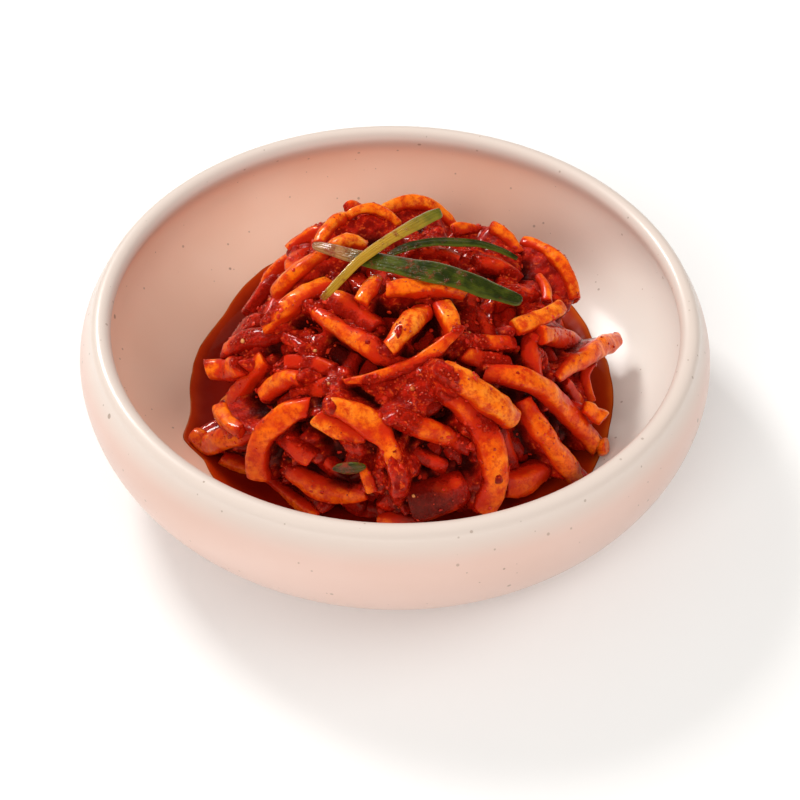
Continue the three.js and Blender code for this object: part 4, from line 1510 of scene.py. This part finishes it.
class KimchiStageSettings(bpy.types.PropertyGroup):
    """Camera, light and floor."""

    lens: measure("Lens", "Focal length", 64.22, "CAMERA")
    elevation: angle("Elevation", "How high the camera stands, as an angle", 45.95)
    roll: angle("Roll", "Camera's tilt", 0.97)
    reach: length("Distance", "Distance of the camera", 0.43405)
    aim: point("Aim", "Point that the distance is taken from", (0, 0, 0.004))
    target: point("Target", "Point in the middle of the view", (0.0016, 0.00102, 0.00499))
    floor: colour("Floor", "Colour of the floor", (0.93, 0.93, 0.93))
    room: colour("Room", "Colour of the light all round", (1.0, 0.985, 0.96))
    room_strength: measure("Room Strength", "Strength of the light all round", 0.52)
    key: measure("Key", "Power of the window", 8.5, "POWER")
    fill: measure("Fill", "Power of the soft light in front", 8.0, "POWER")
    side: measure("Side", "Power of the soft light beside", 3.2, "POWER")


# ---- Operators ----


class MakeBowl(bpy.types.Operator):
    """Make the glazed bowl"""

    bl_idname = "kimchi.bowl"
    bl_label = "Bowl"

    def execute(self, context):
        finish_piece(make_bowl(context.scene.kimchi_bowl), "bowl", "bowl")
        return {"FINISHED"}


class MakeJuice(bpy.types.Operator):
    """Make the juice in the bowl"""

    bl_idname = "kimchi.juice"
    bl_label = "Juice"

    def execute(self, context):
        finish_piece(make_juice(context.scene.kimchi_juice), "juice", "juice")
        return {"FINISHED"}


class MakeHeap(bpy.types.Operator):
    """Make the radish strips and the paste between them"""

    bl_idname = "kimchi.heap"
    bl_label = "Radish Heap"

    def execute(self, context):
        user = context.scene.kimchi_heap
        radish = radish_material(user)
        names = list(laid().strips)
        half = len(names) // 2
        pieces = [
            make_packing(user, paste_material(user)),
            make_under_strips(user, radish),
            make_strips("strips_low", names[:half], user, radish, LOW_SEED),
            make_strips("strips_high", names[half:], user, radish, HIGH_SEED),
        ]
        for piece in pieces:
            finish_piece(piece, "radish_heap", "radish_heap")
        return {"FINISHED"}


class MakeBits(bpy.types.Operator):
    """Scatter flakes, grains and garlic over the heap"""

    bl_idname = "kimchi.bits"
    bl_label = "Loose Bits"

    def execute(self, context):
        user = context.scene.kimchi_bits
        names = ("packed_paste", "strips_under", "strips_low", "strips_high")
        tree = outer_tree([bpy.data.objects[name] for name in names])
        flakes = grain_material("pepper_flake", user.flake, user.flake_bright)
        grains = grain_material("paste_grain", user.grain, user.grain_bright, 0.8)
        garlic = grain_material("minced_garlic", user.garlic_deep, user.garlic_pale)
        pieces = [
            scatter("pepper_flakes", tree, user.flakes, FLAKES, flakes, clumped),
            scatter("paste_grains", tree, user.grains, GRAINS, grains, pasted),
            scatter("garlic_bits", tree, user.garlic, GARLIC, garlic, pasted),
        ]
        for piece in pieces:
            finish_piece(piece, "radish_heap", "radish_heap")
        return {"FINISHED"}


class MakeScallion(bpy.types.Operator):
    """Make the pieces of scallion"""

    bl_idname = "kimchi.scallion"
    bl_label = "Scallion"

    def execute(self, context):
        user = context.scene.kimchi_scallion
        leaf = leaf_material(
            "scallion_leaf", user.leaf, user.leaf_dark, user.leaf_pale, user.smear
        )
        stalk = leaf_material(
            "scallion_stalk", user.stalk_green, user.stalk_deep, user.stalk, user.smear
        )
        for key in SCALLION:
            material = stalk if key == "scallion_stalk" else leaf
            finish_piece(make_leaf(key, material), key, key)
        return {"FINISHED"}


class MakeStage(bpy.types.Operator):
    """Set the floor, the light and the camera"""

    bl_idname = "kimchi.stage"
    bl_label = "Stage"

    def execute(self, context):
        user = context.scene.kimchi_stage
        make_floor(user)
        add_light("window", (-0.59, 0.70, 0.85), (0.32, 0.28), user.key, True)
        add_light("front", (-0.45, -0.95, 0.72), (0.8, 0.6), user.fill, False)
        add_light("side", (0.75, -0.05, 0.85), (0.8, 0.6), user.side, False)
        set_world(user)
        add_camera(user)
        return {"FINISHED"}


class KIMCHI_PT_panel(bpy.types.Panel):
    """Buttons for each piece"""

    bl_label = "Radish Kimchi Bowl"
    bl_idname = "KIMCHI_PT_panel"
    bl_space_type = "VIEW_3D"
    bl_region_type = "UI"
    bl_category = "Kimchi"

    def draw(self, context):
        for operator in OPERATORS:
            self.layout.operator(operator.bl_idname)


SETTINGS = {
    "kimchi_bowl": KimchiBowlSettings,
    "kimchi_juice": KimchiJuiceSettings,
    "kimchi_heap": KimchiHeapSettings,
    "kimchi_bits": KimchiBitsSettings,
    "kimchi_scallion": KimchiScallionSettings,
    "kimchi_stage": KimchiStageSettings,
}
OPERATORS = (MakeBowl, MakeJuice, MakeHeap, MakeBits, MakeScallion, MakeStage)


def register():
    for group in (*SETTINGS.values(), *OPERATORS, KIMCHI_PT_panel):
        bpy.utils.register_class(group)
    for name, group in SETTINGS.items():
        setattr(bpy.types.Scene, name, bpy.props.PointerProperty(type=group))


def unregister():
    for name in SETTINGS:
        delattr(bpy.types.Scene, name)
    for group in reversed((*SETTINGS.values(), *OPERATORS, KIMCHI_PT_panel)):
        bpy.utils.unregister_class(group)


def main():
    register()
    bpy.ops.kimchi.bowl()
    bpy.ops.kimchi.juice()
    bpy.ops.kimchi.heap()
    bpy.ops.kimchi.bits()
    bpy.ops.kimchi.scallion()
    bpy.ops.kimchi.stage()


if __name__ == "__main__":
    main()
